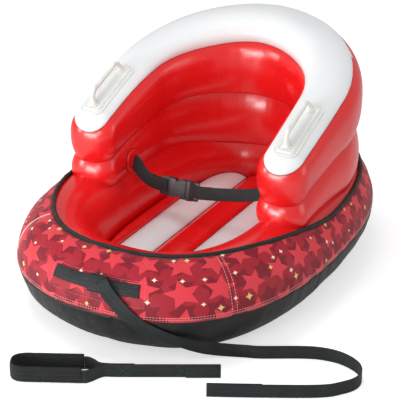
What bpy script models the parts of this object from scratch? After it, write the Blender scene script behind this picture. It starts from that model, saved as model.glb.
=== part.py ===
"""Child's inflatable snow sled.

An air ring and a channelled air floor sit in a sewn cover. A wrap-round backrest of two
stacked tubes stands on the ring, with a grab handle on each arm and a lap belt between
them. A webbing tow strap is hitched to the front of the cover, and a loose pull strap
with a padded grip lies beside it. Metres, +Z up, front of the sled at -Y, origin under
the middle of the sled on the ground.
"""

import math

import bmesh
import bpy
from mathutils import Matrix, Vector

# Clearance between pieces that touch
GAP = 0.0003

# Plan of the air ring: its centre line is an egg-shaped oval
RING_HALF_WIDTH = 0.213
RING_FRONT = 0.301
RING_BACK = 0.379
RING_SQUARENESS = 2.57
RING_STATIONS = 56

# Section of the air ring, measured from its centre line
TUBE_OUT = 0.0965
TUBE_IN = 0.072
TUBE_TOP = 0.187
TUBE_SQUARENESS = 2.15
UNDERSIDE_SQUARENESS = 1.70
TUBE_SIDES = 22

# Cover: padded fabric round the ring, open at the top, slick and black underneath
COVER_THICK = 0.0032
OPENING_FRONT = 0.018
OPENING_ROOM = 0.013
OPENING_FALL_START = -0.351
OPENING_FALL_END = 0.030
PANEL_ROWS = 7
SIDE_SEAM_STATION = 5.75
SHELL_ROWS = 6
BINDING_RADIUS = 0.004

# Air floor: five lengthwise channels, their widths as shares of the half width of the floor
FLOOR_TOP = 0.093
FLOOR_VALLEY = 0.012
FLOOR_END_DROP = 0.004
FLOOR_END_LENGTH = 0.014
CENTRE_SHARE = 0.4894
MIDDLE_SHARE = 0.5461
LEAST_SIDE_SHARE = 0.085
FLOOR_HALF_WIDTH = RING_HALF_WIDTH - TUBE_IN
CENTRE_CHANNEL = CENTRE_SHARE * FLOOR_HALF_WIDTH
MIDDLE_CHANNEL = MIDDLE_SHARE * FLOOR_HALF_WIDTH
LEAST_SIDE_CHANNEL = LEAST_SIDE_SHARE * FLOOR_HALF_WIDTH
FLOOR_COLUMNS = 7

# Backrest: two tubes on one U-shaped path that follows the ring's sides and rear
BACK_OUTSIDE_RING = 0.004
BACK_INSIDE_REAR = 0.007
BACK_HALF_WIDTH = RING_HALF_WIDTH + BACK_OUTSIDE_RING
BACK_REAR = (RING_FRONT + RING_BACK) / 2 - BACK_INSIDE_REAR
BACK_FRONT = -0.106
BACK_ARC_START = 0.106
BACK_SQUARENESS = 1.92
BACK_STATIONS = 40
BACK_SIDES = 18
# Height of each joint line: at the arm ends, its slope there and its bend
BOTTOM_LINE = (0.160, 0.049, -0.139)
MIDDLE_LINE = (0.221, 0.300, -0.360)
TOP_LINE = (0.316, 0.390, -0.128)
LOWER_ARM_WIDTH = 0.110
LOWER_REAR_WIDTH = 0.122
UPPER_ARM_WIDTH = 0.110
UPPER_REAR_WIDTH = 0.158
BACK_SWELL = 1.7
UPPER_LEAN = -0.012
UPPER_SQUARENESS = 2.5
UPPER_BELOW_SHARE = 0.4712
ARM_END_LENGTH = 0.034
ARM_END_RINGS = 5
ARM_END_ROUND = 2.6
ARM_END_PRESS = 4.5
# Where the pressed side of a tube's section begins, measured from its widest place
CONTACT = math.radians(40)
# The cover's opening runs round the outside of the backrest
OPENING_BACK = BACK_OUTSIDE_RING + LOWER_ARM_WIDTH / 2 + OPENING_ROOM

# White skin welded on the top of the upper tube
SKIN_THICK = 0.0009
SKIN_INNER_ANGLE = 152.0
SKIN_OUTER_ANGLE = 38.0
SKIN_END_DROP = 0.030
SKIN_END_BOW = 9.0

# Grab handles, moulded, on pads that follow the arm
HANDLE_Y = -0.010
HANDLE_OUT = 0.004
PAD_HALF_LENGTH = 0.074
PAD_HALF_WIDTH = 0.025
PAD_CORNER = 0.016
PAD_CORNER_POINTS = 4
PAD_FLANGE = 0.0018
PAD_STEP_INSET = 0.0075
PAD_STEP = 0.0026
PAD_SINK = 0.0040
PAD_EDGE = 0.0008
PAD_DRAFT = 0.0006
GRIP_FEET = 0.104
HANDLE_RISE = 0.027
HANDLE_ROD = 0.0068
HANDLE_FOOT = 0.0095
# The grip's arch from a foot to its middle: way in, height and thickness, each as a share
GRIP_ARCH = (
    (0.0, 0.0, HANDLE_FOOT / HANDLE_ROD),
    (0.0, 0.204, HANDLE_FOOT / HANDLE_ROD * 0.93),
    (0.019, 0.444, 1.12),
    (0.077, 0.704, 1.04),
    (0.173, 0.926, 1.0),
    (0.308, 1.074, 1.0),
    (0.500, 0.985, 1.0),
    (0.808, 1.0, 1.0),
)

# Webbing and the lap belt; its middle line in x and z
WEB_WIDTH = 0.027
WEB_THICK = 0.0018
BELT_Y = -0.012
BELT_TILT = math.radians(14)
BELT_BELOW_MIDDLE = 0.0011
BELT_DROP = 0.0390
BELT_LEFT_SHAPE = ((0, 0), (0.06, 0), (0.14, 0.13), (0.28, 0.44), (0.50, 0.75), (0.76, 0.94), (1, 1))
BELT_RIGHT_SHAPE = ((0, 1), (0.19, 0.88), (0.37, 0.75), (0.58, 0.58), (0.80, 0.32), (0.96, 0), (1, 0))
PATCH_RADIUS = 0.025
PATCH_THICK = 0.0018
PATCH_POINTS = 20
PATCH_SINK = 0.0030
PATCH_EDGE = 0.0007
PATCH_INNER_SHARE = 0.48
SLOT_CUT = 0.020
SLOT_PLAY = 0.0017
BELT_SETTLE = 0.008
BELT_EASE = 0.060
FOLD_GAP = 0.0006
FOLD_LENGTH = 0.030
TAIL_LENGTH = 0.024

# Side-release buckle, laid along the belt from its adjuster
BUCKLE_START = -0.094
ADJUSTER_LENGTH = 0.019
SOCKET_LENGTH = 0.043
PLUG_LENGTH = 0.028
BUCKLE_WIDTH = 0.041
BUCKLE_THICK = 0.0125
FIRST_SLOT = 0.0053
BUCKLE_WALL = 0.0022
BUCKLE_BAR = 0.0032
BAR_THICK = 0.0026
BUCKLE_ROUND = 0.0014
BAR_ROUND = 0.0010
BAR_NOSE = 0.0012
SOCKET_SHOULDER = 0.0060
MOUTH_LIP = 0.0020
MOUTH_BEVEL = 0.0008
SLOT_THROUGH = 0.03
PLUG_FLARE = 0.0008
PLUG_BODY = 0.0080
PLUG_SLOT = 0.0068
RAIL_WIDTH = 0.0055
PRONG_THICK = 0.0052
PRONG_STEM = 0.0036
PRONG_LENGTH = 0.034
TONGUE_WIDTH = 0.0080
NOTCH_RADIUS = 0.0095
NOTCH_PLACE = 0.0240
NOTCH_DEPTH = 0.0058
NOTCH_POINTS = 20
BUCKLE_PLAY = 0.0006

# Anchor strip sewn to the front of the cover, with the hitch round its middle
STRIP_START_SHARE = -0.0385
STRIP_END_SHARE = 0.0395
STRIP_ANGLE = math.radians(34)
STRIP_COLUMNS = 22
STRIP_THICK = 0.0018
COVER_REST = 0.0006
HITCH_SHARE = 0.0050
HITCH_HALF_WIDTH = 0.0155
HITCH_LIFT = 0.0052
HITCH_THICK = 0.0020

# Tow strap: its middle line down the front of the cover and on along the ground
TOW_WIDTH = 0.028
TOW_THICK = 0.0022
STRAP_REST = 0.0005
STRAP_HEIGHT = TOW_WIDTH / 2 + STRAP_REST
TOW_POINTS = 54
TOW_FOLD = 0.105
TOW_ROUTE = (
    (0.0208, -0.4352, 0.1640),
    (0.0295, -0.4385, 0.1545),
    (0.0386, -0.4390, 0.1431),
    (0.0502, -0.4385, 0.1312),
    (0.0642, -0.4383, 0.1190),
    (0.0786, -0.4370, 0.1064),
    (0.0921, -0.4342, 0.0960),
    (0.1081, -0.4286, 0.0847),
    (0.1250, -0.4206, 0.0750),
    (0.1437, -0.4090, 0.0640),
    (0.1600, -0.3965, 0.0545),
    (0.1750, -0.3835, 0.0450),
    (0.1915, -0.3655, 0.0345),
    (0.2100, -0.3430, 0.0240),
    (0.2345, -0.3210, 0.0165),
    (0.2620, -0.3065, STRAP_HEIGHT),
    (0.2890, -0.2960, STRAP_HEIGHT),
    (0.3540, -0.2600, STRAP_HEIGHT),
    (0.3910, -0.2450, STRAP_HEIGHT),
    (0.4300, -0.2420, STRAP_HEIGHT),
    (0.4680, -0.2550, STRAP_HEIGHT),
    (0.4900, -0.2780, STRAP_HEIGHT),
    (0.4940, -0.3070, STRAP_HEIGHT),
    (0.4800, -0.3350, STRAP_HEIGHT),
    (0.4470, -0.3680, STRAP_HEIGHT),
    (0.3510, -0.4210, STRAP_HEIGHT),
    (0.2650, -0.4650, STRAP_HEIGHT),
)

# Loose pull strap, from the fork at its padded grip to its flat loop
PULL_ROUTE = (
    (0.0640, -0.4960, STRAP_HEIGHT),
    (0.0900, -0.4830, STRAP_HEIGHT),
    (0.1390, -0.4560, STRAP_HEIGHT),
    (0.1880, -0.4290, STRAP_HEIGHT),
    (0.2530, -0.3930, STRAP_HEIGHT),
)
PULL_FOLD = 0.070
PULL_RETURN = 0.062
GRIP_PLACE = (0.0275, -0.5140)
GRIP_HEADING = math.radians(206.5)
GRIP_LENGTH = 0.134
GRIP_WIDTH = 0.050
GRIP_END = 0.032
GRIP_THICK = 0.0060
GRIP_HEIGHT = 0.034

# Valves
VALVE_FLANGE = 0.019
VALVE_NECK = 0.0125
VALVE_CAP = 0.0150
VALVE_FLANGE_THICK = 0.0016
VALVE_NECK_HEIGHT = 0.0060
VALVE_CAP_HEIGHT = 0.0065
VALVE_BORE = 0.0075
VALVE_PLUG = 0.0070
BASE_VALVE_ANGLE = math.radians(160)


def clear_scene():
    for item in list(bpy.data.objects):
        bpy.data.objects.remove(item)


def new_collection(name):
    collection = bpy.data.collections.new(name)
    bpy.context.scene.collection.children.link(collection)
    return collection


def material(name, colour, roughness, metallic=0.0):
    made = bpy.data.materials.new(name)
    made.use_nodes = True
    shader = made.node_tree.nodes["Principled BSDF"]
    shader.inputs["Base Color"].default_value = (*colour, 1.0)
    shader.inputs["Roughness"].default_value = roughness
    shader.inputs["Metallic"].default_value = metallic
    made.diffuse_color = (*colour, 1.0)
    return made


clear_scene()
PARTS = new_collection("inflatable_sled")
CUTTERS = new_collection("cutters")

RED_VINYL = material("red_vinyl", (0.72, 0.010, 0.012), 0.28)
WHITE_VINYL = material("white_vinyl", (0.86, 0.87, 0.88), 0.35)
PRINT_FABRIC = material("print_fabric", (0.50, 0.030, 0.055), 0.62)
BLACK_FABRIC = material("black_fabric", (0.022, 0.022, 0.024), 0.42)
BINDING_TAPE = material("binding_tape", (0.020, 0.022, 0.024), 0.70)
BLACK_WEBBING = material("black_webbing", (0.022, 0.023, 0.025), 0.78)
BUCKLE_PLASTIC = material("buckle_plastic", (0.035, 0.037, 0.040), 0.42)
HANDLE_PLASTIC = material("handle_plastic", (0.80, 0.81, 0.79), 0.38)
VALVE_PLASTIC = material("valve_plastic", (0.82, 0.83, 0.84), 0.40)
PADDED_SLEEVE = material("padded_sleeve", (0.018, 0.018, 0.020), 0.55)


def add_object(name, mesh, skin, collection=PARTS):
    made = bpy.data.objects.new(name, mesh)
    collection.objects.link(made)
    if skin:
        mesh.materials.append(skin)
    if collection is CUTTERS:
        made.hide_render = True
        made.display_type = "WIRE"
    return made


def finish(bm, name, skin, collection=PARTS, smooth=True):
    mesh = bpy.data.meshes.new(name)
    bm.to_mesh(mesh)
    bm.free()
    if smooth:
        mesh.shade_smooth()
        mesh.set_sharp_from_angle(angle=math.radians(40))
    return add_object(name, mesh, skin, collection)


def move_origin(piece, spot):
    """Puts a piece's own origin at a place without moving the piece."""
    piece.data.transform(Matrix.Translation(-spot))
    piece.location = spot


def add_boolean(target, cutter, operation="DIFFERENCE"):
    cut = target.modifiers.new("cut_" + cutter.name, "BOOLEAN")
    cut.operation = operation
    cut.object = cutter
    cut.solver = "EXACT"
    return cut


def superellipse(angle, half_x, half_y, power):
    c = math.cos(angle)
    s = math.sin(angle)
    x = math.copysign(abs(c) ** (2 / power), c)
    y = math.copysign(abs(s) ** (2 / power), s)
    return half_x * x, half_y * y


def smoothstep(value, start, end):
    share = min(max((value - start) / (end - start), 0.0), 1.0)
    return share * share * (3 - 2 * share)


class PlanPath:
    """A curve on the ground, read by its share of length, with its outward side."""

    def __init__(self, points, closed):
        self.closed = closed
        self.points = [Vector(p) for p in points]
        if closed:
            self.points.append(self.points[0].copy())
        self.sums = [0.0]
        for a, b in zip(self.points, self.points[1:]):
            self.sums.append(self.sums[-1] + (b - a).length)
        self.length = self.sums[-1]

    def point(self, share):
        if self.closed:
            share %= 1.0
        distance = min(max(share, 0.0), 1.0) * self.length
        low = 0
        high = len(self.sums) - 1
        while high - low > 1:
            middle = (low + high) // 2
            if self.sums[middle] <= distance:
                low = middle
            else:
                high = middle
        span = self.sums[high] - self.sums[low]
        blend = (distance - self.sums[low]) / span if span else 0.0
        return self.points[low].lerp(self.points[high], blend)

    def outward(self, share):
        step = 0.006
        if self.closed:
            ahead = self.point(share + step)
            behind = self.point(share - step)
        else:
            ahead = self.point(min(share + step, 1.0))
            behind = self.point(max(share - step, 0.0))
        along = (ahead - behind).normalized()
        return Vector((along.y, -along.x, 0.0))

    def place(self, share, out, height):
        spot = self.point(share) + self.outward(share) * out
        return Vector((spot.x, spot.y, height))


def ring_path():
    widest_y = (RING_FRONT - RING_BACK) / 2
    points = []
    count = 1440
    for i in range(count):
        angle = 2 * math.pi * i / count - math.pi / 2
        reach = RING_FRONT if math.sin(angle) < 0 else RING_BACK
        x, y = superellipse(angle, RING_HALF_WIDTH, reach, RING_SQUARENESS)
        points.append((x, y + widest_y, 0.0))
    return PlanPath(points, closed=True)


def back_path():
    points = [(BACK_HALF_WIDTH, BACK_FRONT, 0.0)]
    count = 720
    for i in range(count + 1):
        angle = math.pi * i / count
        x, y = superellipse(angle, BACK_HALF_WIDTH, BACK_REAR - BACK_ARC_START, BACK_SQUARENESS)
        points.append((x, y + BACK_ARC_START, 0.0))
    points.append((-BACK_HALF_WIDTH, BACK_FRONT, 0.0))
    return PlanPath(points, closed=False)


RING = ring_path()
BACK = back_path()

# Section of the ring tube: half sizes and centre
TUBE_HALF_WIDTH = (TUBE_OUT + TUBE_IN) / 2
TUBE_CENTRE_OUT = (TUBE_OUT - TUBE_IN) / 2
TUBE_BOTTOM = COVER_THICK + GAP
TUBE_HALF_HEIGHT = (TUBE_TOP - TUBE_BOTTOM) / 2
TUBE_CENTRE_HEIGHT = (TUBE_TOP + TUBE_BOTTOM) / 2
# The shell under the floor is doubled where it is quilted
SHELL_FLOOR = TUBE_BOTTOM + COVER_THICK / 2


def ring_surface(share, angle, grow=0.0):
    """A point on the ring tube's skin; angle 0 faces out and 90 degrees up."""
    power = TUBE_SQUARENESS if math.sin(angle) >= 0 else UNDERSIDE_SQUARENESS
    out, up = superellipse(angle, TUBE_HALF_WIDTH + grow, TUBE_HALF_HEIGHT + grow, power)
    return RING.place(share, TUBE_CENTRE_OUT + out, TUBE_CENTRE_HEIGHT + up)


def skin_between(bm, first, second, closed_ring, mirrored=False):
    """Triangles between two rings of points that run the same way round."""
    count = len(first)
    for j in range(count if closed_ring else count - 1):
        k = (j + 1) % count
        if mirrored:
            bm.faces.new((first[j], second[j], first[k]))
            bm.faces.new((second[j], second[k], first[k]))
        else:
            bm.faces.new((first[j], second[j], second[k]))
            bm.faces.new((first[j], second[k], first[k]))


def loft(name, rings, skin, closed=False, mirrored=False, collection=PARTS):
    """A closed skin over rings of points; an end ring of one point is a tip."""
    bm = bmesh.new()
    made = [[bm.verts.new(p) for p in ring] for ring in rings]
    pairs = list(zip(made, made[1:]))
    if closed:
        pairs.append((made[-1], made[0]))
    for first, second in pairs:
        if len(first) == 1:
            for j in range(len(second)):
                bm.faces.new((first[0], second[j], second[(j + 1) % len(second)]))
        elif len(second) == 1:
            for j in range(len(first)):
                bm.faces.new((second[0], first[(j + 1) % len(first)], first[j]))
        else:
            skin_between(bm, first, second, closed_ring=True, mirrored=mirrored)
    if not closed:
        for end in (made[0], made[-1]):
            if len(end) > 1:
                bm.faces.new(end)
    bmesh.ops.recalc_face_normals(bm, faces=bm.faces)
    return finish(bm, name, skin, collection)


def sheet(name, rows, thick, skin, flip=False, collection=PARTS):
    """An open grid of points given a thickness on its outer side."""
    bm = bmesh.new()
    made = [[bm.verts.new(p) for p in row] for row in rows]
    for first, second in zip(made, made[1:]):
        skin_between(bm, first, second, closed_ring=False)
    if flip:
        bmesh.ops.reverse_faces(bm, faces=bm.faces)
    made_object = finish(bm, name, skin, collection)
    add_thickness(made_object, thick)
    return made_object


def add_thickness(target, thick):
    solid = target.modifiers.new("thickness", "SOLIDIFY")
    solid.thickness = thick
    solid.offset = 1.0
    solid.use_even_offset = True
    return solid


# Air ring
def ring_rings(grow):
    rings = []
    for i in range(RING_STATIONS):
        share = i / RING_STATIONS
        ring = []
        for j in range(TUBE_SIDES):
            ring.append(ring_surface(share, 2 * math.pi * j / TUBE_SIDES, grow))
        rings.append(ring)
    return rings


loft("base_tube", ring_rings(0.0), RED_VINYL, closed=True)
RING_CUTTER = loft("ring_cutter", ring_rings(GAP), None, closed=True, collection=CUTTERS)


# Cover
def opening_angle(share):
    """Section angle of the cover's top edge, high in front and low round the backrest."""
    y = RING.point(share).y
    fall = smoothstep(y, OPENING_FALL_START, OPENING_FALL_END)
    out = OPENING_FRONT + (OPENING_BACK - OPENING_FRONT) * fall
    part = min(max((out - TUBE_CENTRE_OUT) / TUBE_HALF_WIDTH, 0.0), 1.0)
    return math.acos(part ** (TUBE_SQUARENESS / 2))


def edge_step(distance):
    return distance / TUBE_HALF_HEIGHT


def cover_panel(name, first, last):
    """Printed fabric between two upright seams, from the side seam to the opening."""
    inner = range(math.floor(first) + 1, math.ceil(last))
    half_gap = GAP / 2 / RING.length
    shares = [first / RING_STATIONS + half_gap]
    shares += [station / RING_STATIONS for station in inner]
    shares += [last / RING_STATIONS - half_gap]
    rows = []
    for share in shares:
        low = edge_step(GAP / 2)
        high = opening_angle(share)
        row = []
        for j in range(PANEL_ROWS + 1):
            angle = low + (high - low) * j / PANEL_ROWS
            row.append(ring_surface(share, angle, -COVER_THICK))
        rows.append(row)
    panel = sheet(name, rows, 2 * COVER_THICK + GAP, PRINT_FABRIC)
    add_boolean(panel, RING_CUTTER)
    return panel


cover_panel("cover_front_panel", -SIDE_SEAM_STATION, SIDE_SEAM_STATION)
cover_panel("cover_right_panel", SIDE_SEAM_STATION, RING_STATIONS // 2)
cover_panel("cover_left_panel", RING_STATIONS // 2, RING_STATIONS - SIDE_SEAM_STATION)


def cover_shell():
    """Black fabric below the side seam and right across underneath."""
    bm = bmesh.new()
    rows = []
    start = -edge_step(GAP / 2)
    for j in range(SHELL_ROWS + 1):
        angle = start + (-math.pi / 2 - start) * j / SHELL_ROWS
        row = []
        for i in range(RING_STATIONS):
            spot = ring_surface(i / RING_STATIONS, angle, -COVER_THICK / 2)
            row.append(bm.verts.new(spot))
        rows.append(row)
    for first, second in zip(rows, rows[1:]):
        for i in range(RING_STATIONS):
            k = (i + 1) % RING_STATIONS
            bm.faces.new((first[i], second[i], second[k], first[k]))
    centre = bm.verts.new((0.0, 0.0, SHELL_FLOOR))
    for i in range(RING_STATIONS):
        bm.faces.new((rows[-1][i], centre, rows[-1][(i + 1) % RING_STATIONS]))
    shell = finish(bm, "cover_shell", BLACK_FABRIC)
    add_thickness(shell, SHELL_FLOOR)
    add_boolean(shell, RING_CUTTER)
    return shell


cover_shell()


def poly_curve(name, points, radius, skin, cyclic=False, resolution=2, radii=None):
    data = bpy.data.curves.new(name, "CURVE")
    data.dimensions = "3D"
    data.bevel_depth = radius
    data.bevel_resolution = resolution
    data.use_fill_caps = not cyclic
    line = data.splines.new("POLY")
    line.points.add(len(points) - 1)
    for spot, place in zip(line.points, points):
        spot.co = (*place, 1.0)
    if radii:
        for spot, value in zip(line.points, radii):
            spot.radius = value
    line.use_cyclic_u = cyclic
    data.materials.append(skin)
    made = bpy.data.objects.new(name, data)
    PARTS.objects.link(made)
    return made


def binding_points():
    points = []
    for i in range(RING_STATIONS):
        share = i / RING_STATIONS
        angle = opening_angle(share) + edge_step(BINDING_RADIUS + GAP)
        points.append(ring_surface(share, angle, BINDING_RADIUS + 2 * GAP))
    return points


poly_curve("cover_binding", binding_points(), BINDING_RADIUS, BINDING_TAPE, True, 1)


# Air floor between the walls of the ring, seen from above
WALL = [RING.place(i / RING_STATIONS, -(TUBE_IN + GAP), 0.0) for i in range(RING_STATIONS)]


def wall_crossings(value, axis):
    """Where the ring's inner wall crosses x = value (axis 0) or y = value (axis 1)."""
    found = []
    for a, b in zip(WALL, WALL[1:] + WALL[:1]):
        if (a[axis] - value) * (b[axis] - value) <= 0 and a[axis] != b[axis]:
            share = (value - a[axis]) / (b[axis] - a[axis])
            found.append(a[1 - axis] + share * (b[1 - axis] - a[1 - axis]))
    return min(found), max(found)


FLOOR_BOTTOM = SHELL_FLOOR + GAP


def floor_height(across, from_end):
    """Crown of a channel: low along its welds and rounded down at its ends."""
    crown = FLOOR_TOP - FLOOR_VALLEY * abs(across) ** 2.6
    share = 1 - min(from_end / FLOOR_END_LENGTH, 1.0)
    return crown - FLOOR_END_DROP * (1 - math.sqrt(1 - share * share * 0.98))


def channel_places(start, stop):
    """Places of a channel's cross-sections and how far each is from an end."""
    steps = [share * FLOOR_END_LENGTH for share in (0.0, 0.23, 0.64, 1.0)]
    places = [start + d for d in steps]
    places += [start + (stop - start) * k / 6 for k in range(1, 6)]
    places += [stop - d for d in reversed(steps)]
    return [(y, min(y - start, stop - y)) for y in sorted(places)]


def straight_channel(name, low_x, high_x, skin):
    columns = []
    for j in range(FLOOR_COLUMNS):
        across = 2 * j / (FLOOR_COLUMNS - 1) - 1
        x = low_x + (high_x - low_x) * j / (FLOOR_COLUMNS - 1)
        columns.append((across, x, wall_crossings(x, 0)))
    front, back = columns[FLOOR_COLUMNS // 2][2]
    rings = []
    for y, from_end in channel_places(0.0, back - front):
        ring = []
        for across, x, (low, high) in columns:
            spot = low + (high - low) * y / (back - front)
            ring.append(Vector((x, spot, floor_height(across, from_end))))
        ends = (ring[-1], ring[0])
        ring += [Vector((corner.x, corner.y, FLOOR_BOTTOM)) for corner in ends]
        rings.append(ring)
    return loft(name, rings, skin)


def side_channel(name, side, skin):
    inner = CENTRE_CHANNEL / 2 + MIDDLE_CHANNEL + GAP / 2
    ends = wall_crossings(side * (inner + LEAST_SIDE_CHANNEL), 0)
    rings = []
    for y, from_end in channel_places(*ends):
        low, high = wall_crossings(y, 1)
        outer = (high if side > 0 else -low) - GAP
        ring = []
        for j in range(FLOOR_COLUMNS):
            across = 2 * j / (FLOOR_COLUMNS - 1) - 1
            x = inner + (outer - inner) * j / (FLOOR_COLUMNS - 1)
            ring.append(Vector((side * x, y, floor_height(across, from_end))))
        corners = (ring[-1], ring[0])
        ring += [Vector((corner.x, corner.y, FLOOR_BOTTOM)) for corner in corners]
        rings.append(ring)
    return loft(name, rings, skin)


def air_floor():
    half = CENTRE_CHANNEL / 2
    far = half + MIDDLE_CHANNEL
    straight_channel("floor_centre_channel", -half + GAP / 2, half - GAP / 2, RED_VINYL)
    straight_channel("floor_white_channel_right", half + GAP / 2, far - GAP / 2, WHITE_VINYL)
    straight_channel("floor_white_channel_left", -far + GAP / 2, -half - GAP / 2, WHITE_VINYL)
    side_channel("floor_side_channel_right", 1, RED_VINYL)
    side_channel("floor_side_channel_left", -1, RED_VINYL)


air_floor()


# Backrest tubes
def line_height(line, y):
    reach = max(y - BACK_FRONT, 0.0)
    return line[0] + line[1] * reach + line[2] * reach * reach


def swell(y):
    reach = min(max((y - BACK_FRONT) / (BACK_REAR - BACK_FRONT), 0.0), 1.0)
    return reach ** BACK_SWELL


LOWER_PRESS = math.sin(CONTACT)
UPPER_PRESS = math.sin(CONTACT) ** (2 / UPPER_SQUARENESS)


def arm_width(upper, y):
    if upper:
        return UPPER_ARM_WIDTH + (UPPER_REAR_WIDTH - UPPER_ARM_WIDTH) * swell(y)
    return LOWER_ARM_WIDTH + (LOWER_REAR_WIDTH - LOWER_ARM_WIDTH) * swell(y)


def upper_heights(y):
    """Height of the upper tube's widest place, and how far its section rises above that."""
    top = line_height(TOP_LINE, y)
    rise = (top - line_height(MIDDLE_LINE, y) - GAP / 2) * (1 - UPPER_BELOW_SHARE)
    return top - rise, rise


def lower_heights(y):
    """Centre and half height of the lower tube's section."""
    top = line_height(MIDDLE_LINE, y) - GAP / 2
    bottom = line_height(BOTTOM_LINE, y)
    return (top + bottom) / 2, (top - bottom) / 2 / LOWER_PRESS


def back_section(share, angle, upper, grow=0.0, scale=1.0, press=1.0):
    """A point of a backrest tube's section; its pressed sides are flat and keep more height."""
    y = BACK.point(share).y
    sine = math.sin(angle)
    half_width = arm_width(upper, y) / 2
    if upper:
        centre, half = upper_heights(y)
        if sine < 0:
            half *= UPPER_BELOW_SHARE / (1 - UPPER_BELOW_SHARE) / UPPER_PRESS
            scale_up = press
        else:
            scale_up = scale
        out, up = superellipse(angle, half_width, half, UPPER_SQUARENESS)
        out += UPPER_LEAN * swell(y)
        if sine < -LOWER_PRESS + 1e-6:
            out = arm_width(False, y) / 2 * math.cos(angle)
            up = -half * UPPER_PRESS
    else:
        scale_up = press
        centre, half = lower_heights(y)
        out = half_width * math.cos(angle)
        up = half * min(max(sine, -LOWER_PRESS), LOWER_PRESS)
    reach = math.hypot(out, up) or 1.0
    out += grow * out / reach
    up += grow * up / reach
    return BACK.place(share, out * scale, centre + up * scale_up)


def arm_end_shares():
    """Distances from an arm's tip, the size of the section there and of its pressed sides."""
    made = []
    for part in (0.03, 0.12, 0.30, 0.55, 0.80)[:ARM_END_RINGS]:
        size = (1 - (1 - part) ** ARM_END_ROUND) ** (1 / ARM_END_ROUND)
        press = (1 - (1 - part) ** ARM_END_PRESS) ** (1 / ARM_END_PRESS)
        made.append((part * ARM_END_LENGTH, size, press))
    return made


def back_stations():
    ends = [(d / BACK.length, size, press) for d, size, press in arm_end_shares()]
    first = ARM_END_LENGTH / BACK.length
    body = []
    for i in range(BACK_STATIONS + 1):
        body.append((first + (1 - 2 * first) * i / BACK_STATIONS, 1.0, 1.0))
    return ends + body + [(1 - share, size, press) for share, size, press in reversed(ends)]


def back_rings(upper, grow=0.0):
    rings = []
    for share, size, press in back_stations():
        ring = []
        for j in range(BACK_SIDES):
            angle = 2 * math.pi * j / BACK_SIDES
            ring.append(back_section(share, angle, upper, grow, size, press))
        rings.append(ring)
    tips = []
    for share, ring in ((0.0, rings[0]), (1.0, rings[-1])):
        tip = BACK.place(share, 0.0, ring[0].z)
        tip.y -= grow
        tips.append([tip])
    return [tips[0]] + rings + [tips[1]]


UPPER_RINGS = back_rings(True)
loft("backrest_upper_tube", UPPER_RINGS, RED_VINYL)
lower_tube = loft("backrest_lower_tube", back_rings(False), RED_VINYL, mirrored=True)
add_boolean(lower_tube, RING_CUTTER)
LOWER_CUTTER = loft(
    "lower_cutter", back_rings(False, GAP), None, mirrored=True, collection=CUTTERS
)


# White skin on top of the upper tube
def ring_point(ring, j):
    """A point on a ring's outline, counted in its points."""
    first = ring[int(j)]
    second = ring[(int(j) + 1) % len(ring)]
    return first.lerp(second, j - int(j))


def skin_span(ring, low, high):
    """Part of a ring, counted in its points, that the skin covers at an arm's end."""
    middle = (low + high) / 2
    ends = []
    for limit in (low, high):
        for step in range(50):
            j = limit + (middle - limit) * step / 50
            point = ring_point(ring, j)
            across = abs(point.x) - BACK_HALF_WIDTH
            if point.z >= TOP_LINE[0] - SKIN_END_DROP + SKIN_END_BOW * across * across:
                break
        ends.append(j)
    return ends


def top_skin():
    rings = back_rings(True, -SKIN_THICK)
    low = SKIN_OUTER_ANGLE * BACK_SIDES / 360
    high = SKIN_INNER_ANGLE * BACK_SIDES / 360
    rows = []
    for place in range(1, len(rings) - 1):
        left, right = low, high
        if min(place, len(rings) - 1 - place) <= ARM_END_RINGS:
            left, right = skin_span(rings[place], low, high)
        columns = [left] + [float(j) for j in range(int(low) + 1, int(high) + 1)] + [right]
        columns = [min(max(j, left), right) for j in columns]
        spread = (right - left) / (len(columns) - 1)
        for k in range(1, len(columns) - 1):
            if columns[k] <= left or columns[k] >= right:
                columns = [left + spread * n for n in range(len(columns))]
                break
        rows.append([ring_point(rings[place], j) for j in columns])
    skin = sheet("top_skin", rows, 2 * SKIN_THICK + GAP, WHITE_VINYL)
    add_boolean(skin, UPPER_CUTTER)
    return skin


UPPER_CUTTER = loft("upper_cutter", back_rings(True, GAP), None, collection=CUTTERS)
top_skin()
SKIN_CUTTER = loft(
    "skin_cutter", back_rings(True, 3 * GAP + SKIN_THICK), None, collection=CUTTERS
)


# Grab handles
def rounded_rectangle(half_length, half_width, radius, per_corner):
    points = []
    for corner in range(4):
        centre_u = (half_length - radius) * (1 if corner in (0, 3) else -1)
        centre_v = (half_width - radius) * (1 if corner in (0, 1) else -1)
        for k in range(per_corner + 1):
            angle = math.pi / 2 * (corner + k / per_corner)
            points.append((centre_u + radius * math.cos(angle), centre_v + radius * math.sin(angle)))
    return points


def upper_top(side, along, across, lift):
    """A point above the top of an arm; along runs back and across runs outwards."""
    y = HANDLE_Y + along
    half_width = arm_width(True, y) / 2
    centre, half = upper_heights(y)
    share = across / half_width
    rise = (1 - abs(share) ** UPPER_SQUARENESS) ** (1 / UPPER_SQUARENESS)
    flank = math.copysign(abs(share) ** (UPPER_SQUARENESS - 1), share) / half_width
    normal = Vector((flank, 0.0, rise ** (UPPER_SQUARENESS - 1) / half)).normalized()
    slope = math.atan(TOP_LINE[1] + 2 * TOP_LINE[2] * (y - BACK_FRONT))
    x = BACK_HALF_WIDTH + UPPER_LEAN * swell(y) + across + normal.x * lift
    up = normal.z * lift
    height = centre + half * rise + up * math.cos(slope)
    return Vector((side * x, y - up * math.sin(slope), height))


SKIN_TOP = GAP + SKIN_THICK
PAD_SEAT = SKIN_TOP + GAP
PAD_TOP = PAD_SEAT + PAD_FLANGE + PAD_STEP


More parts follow.
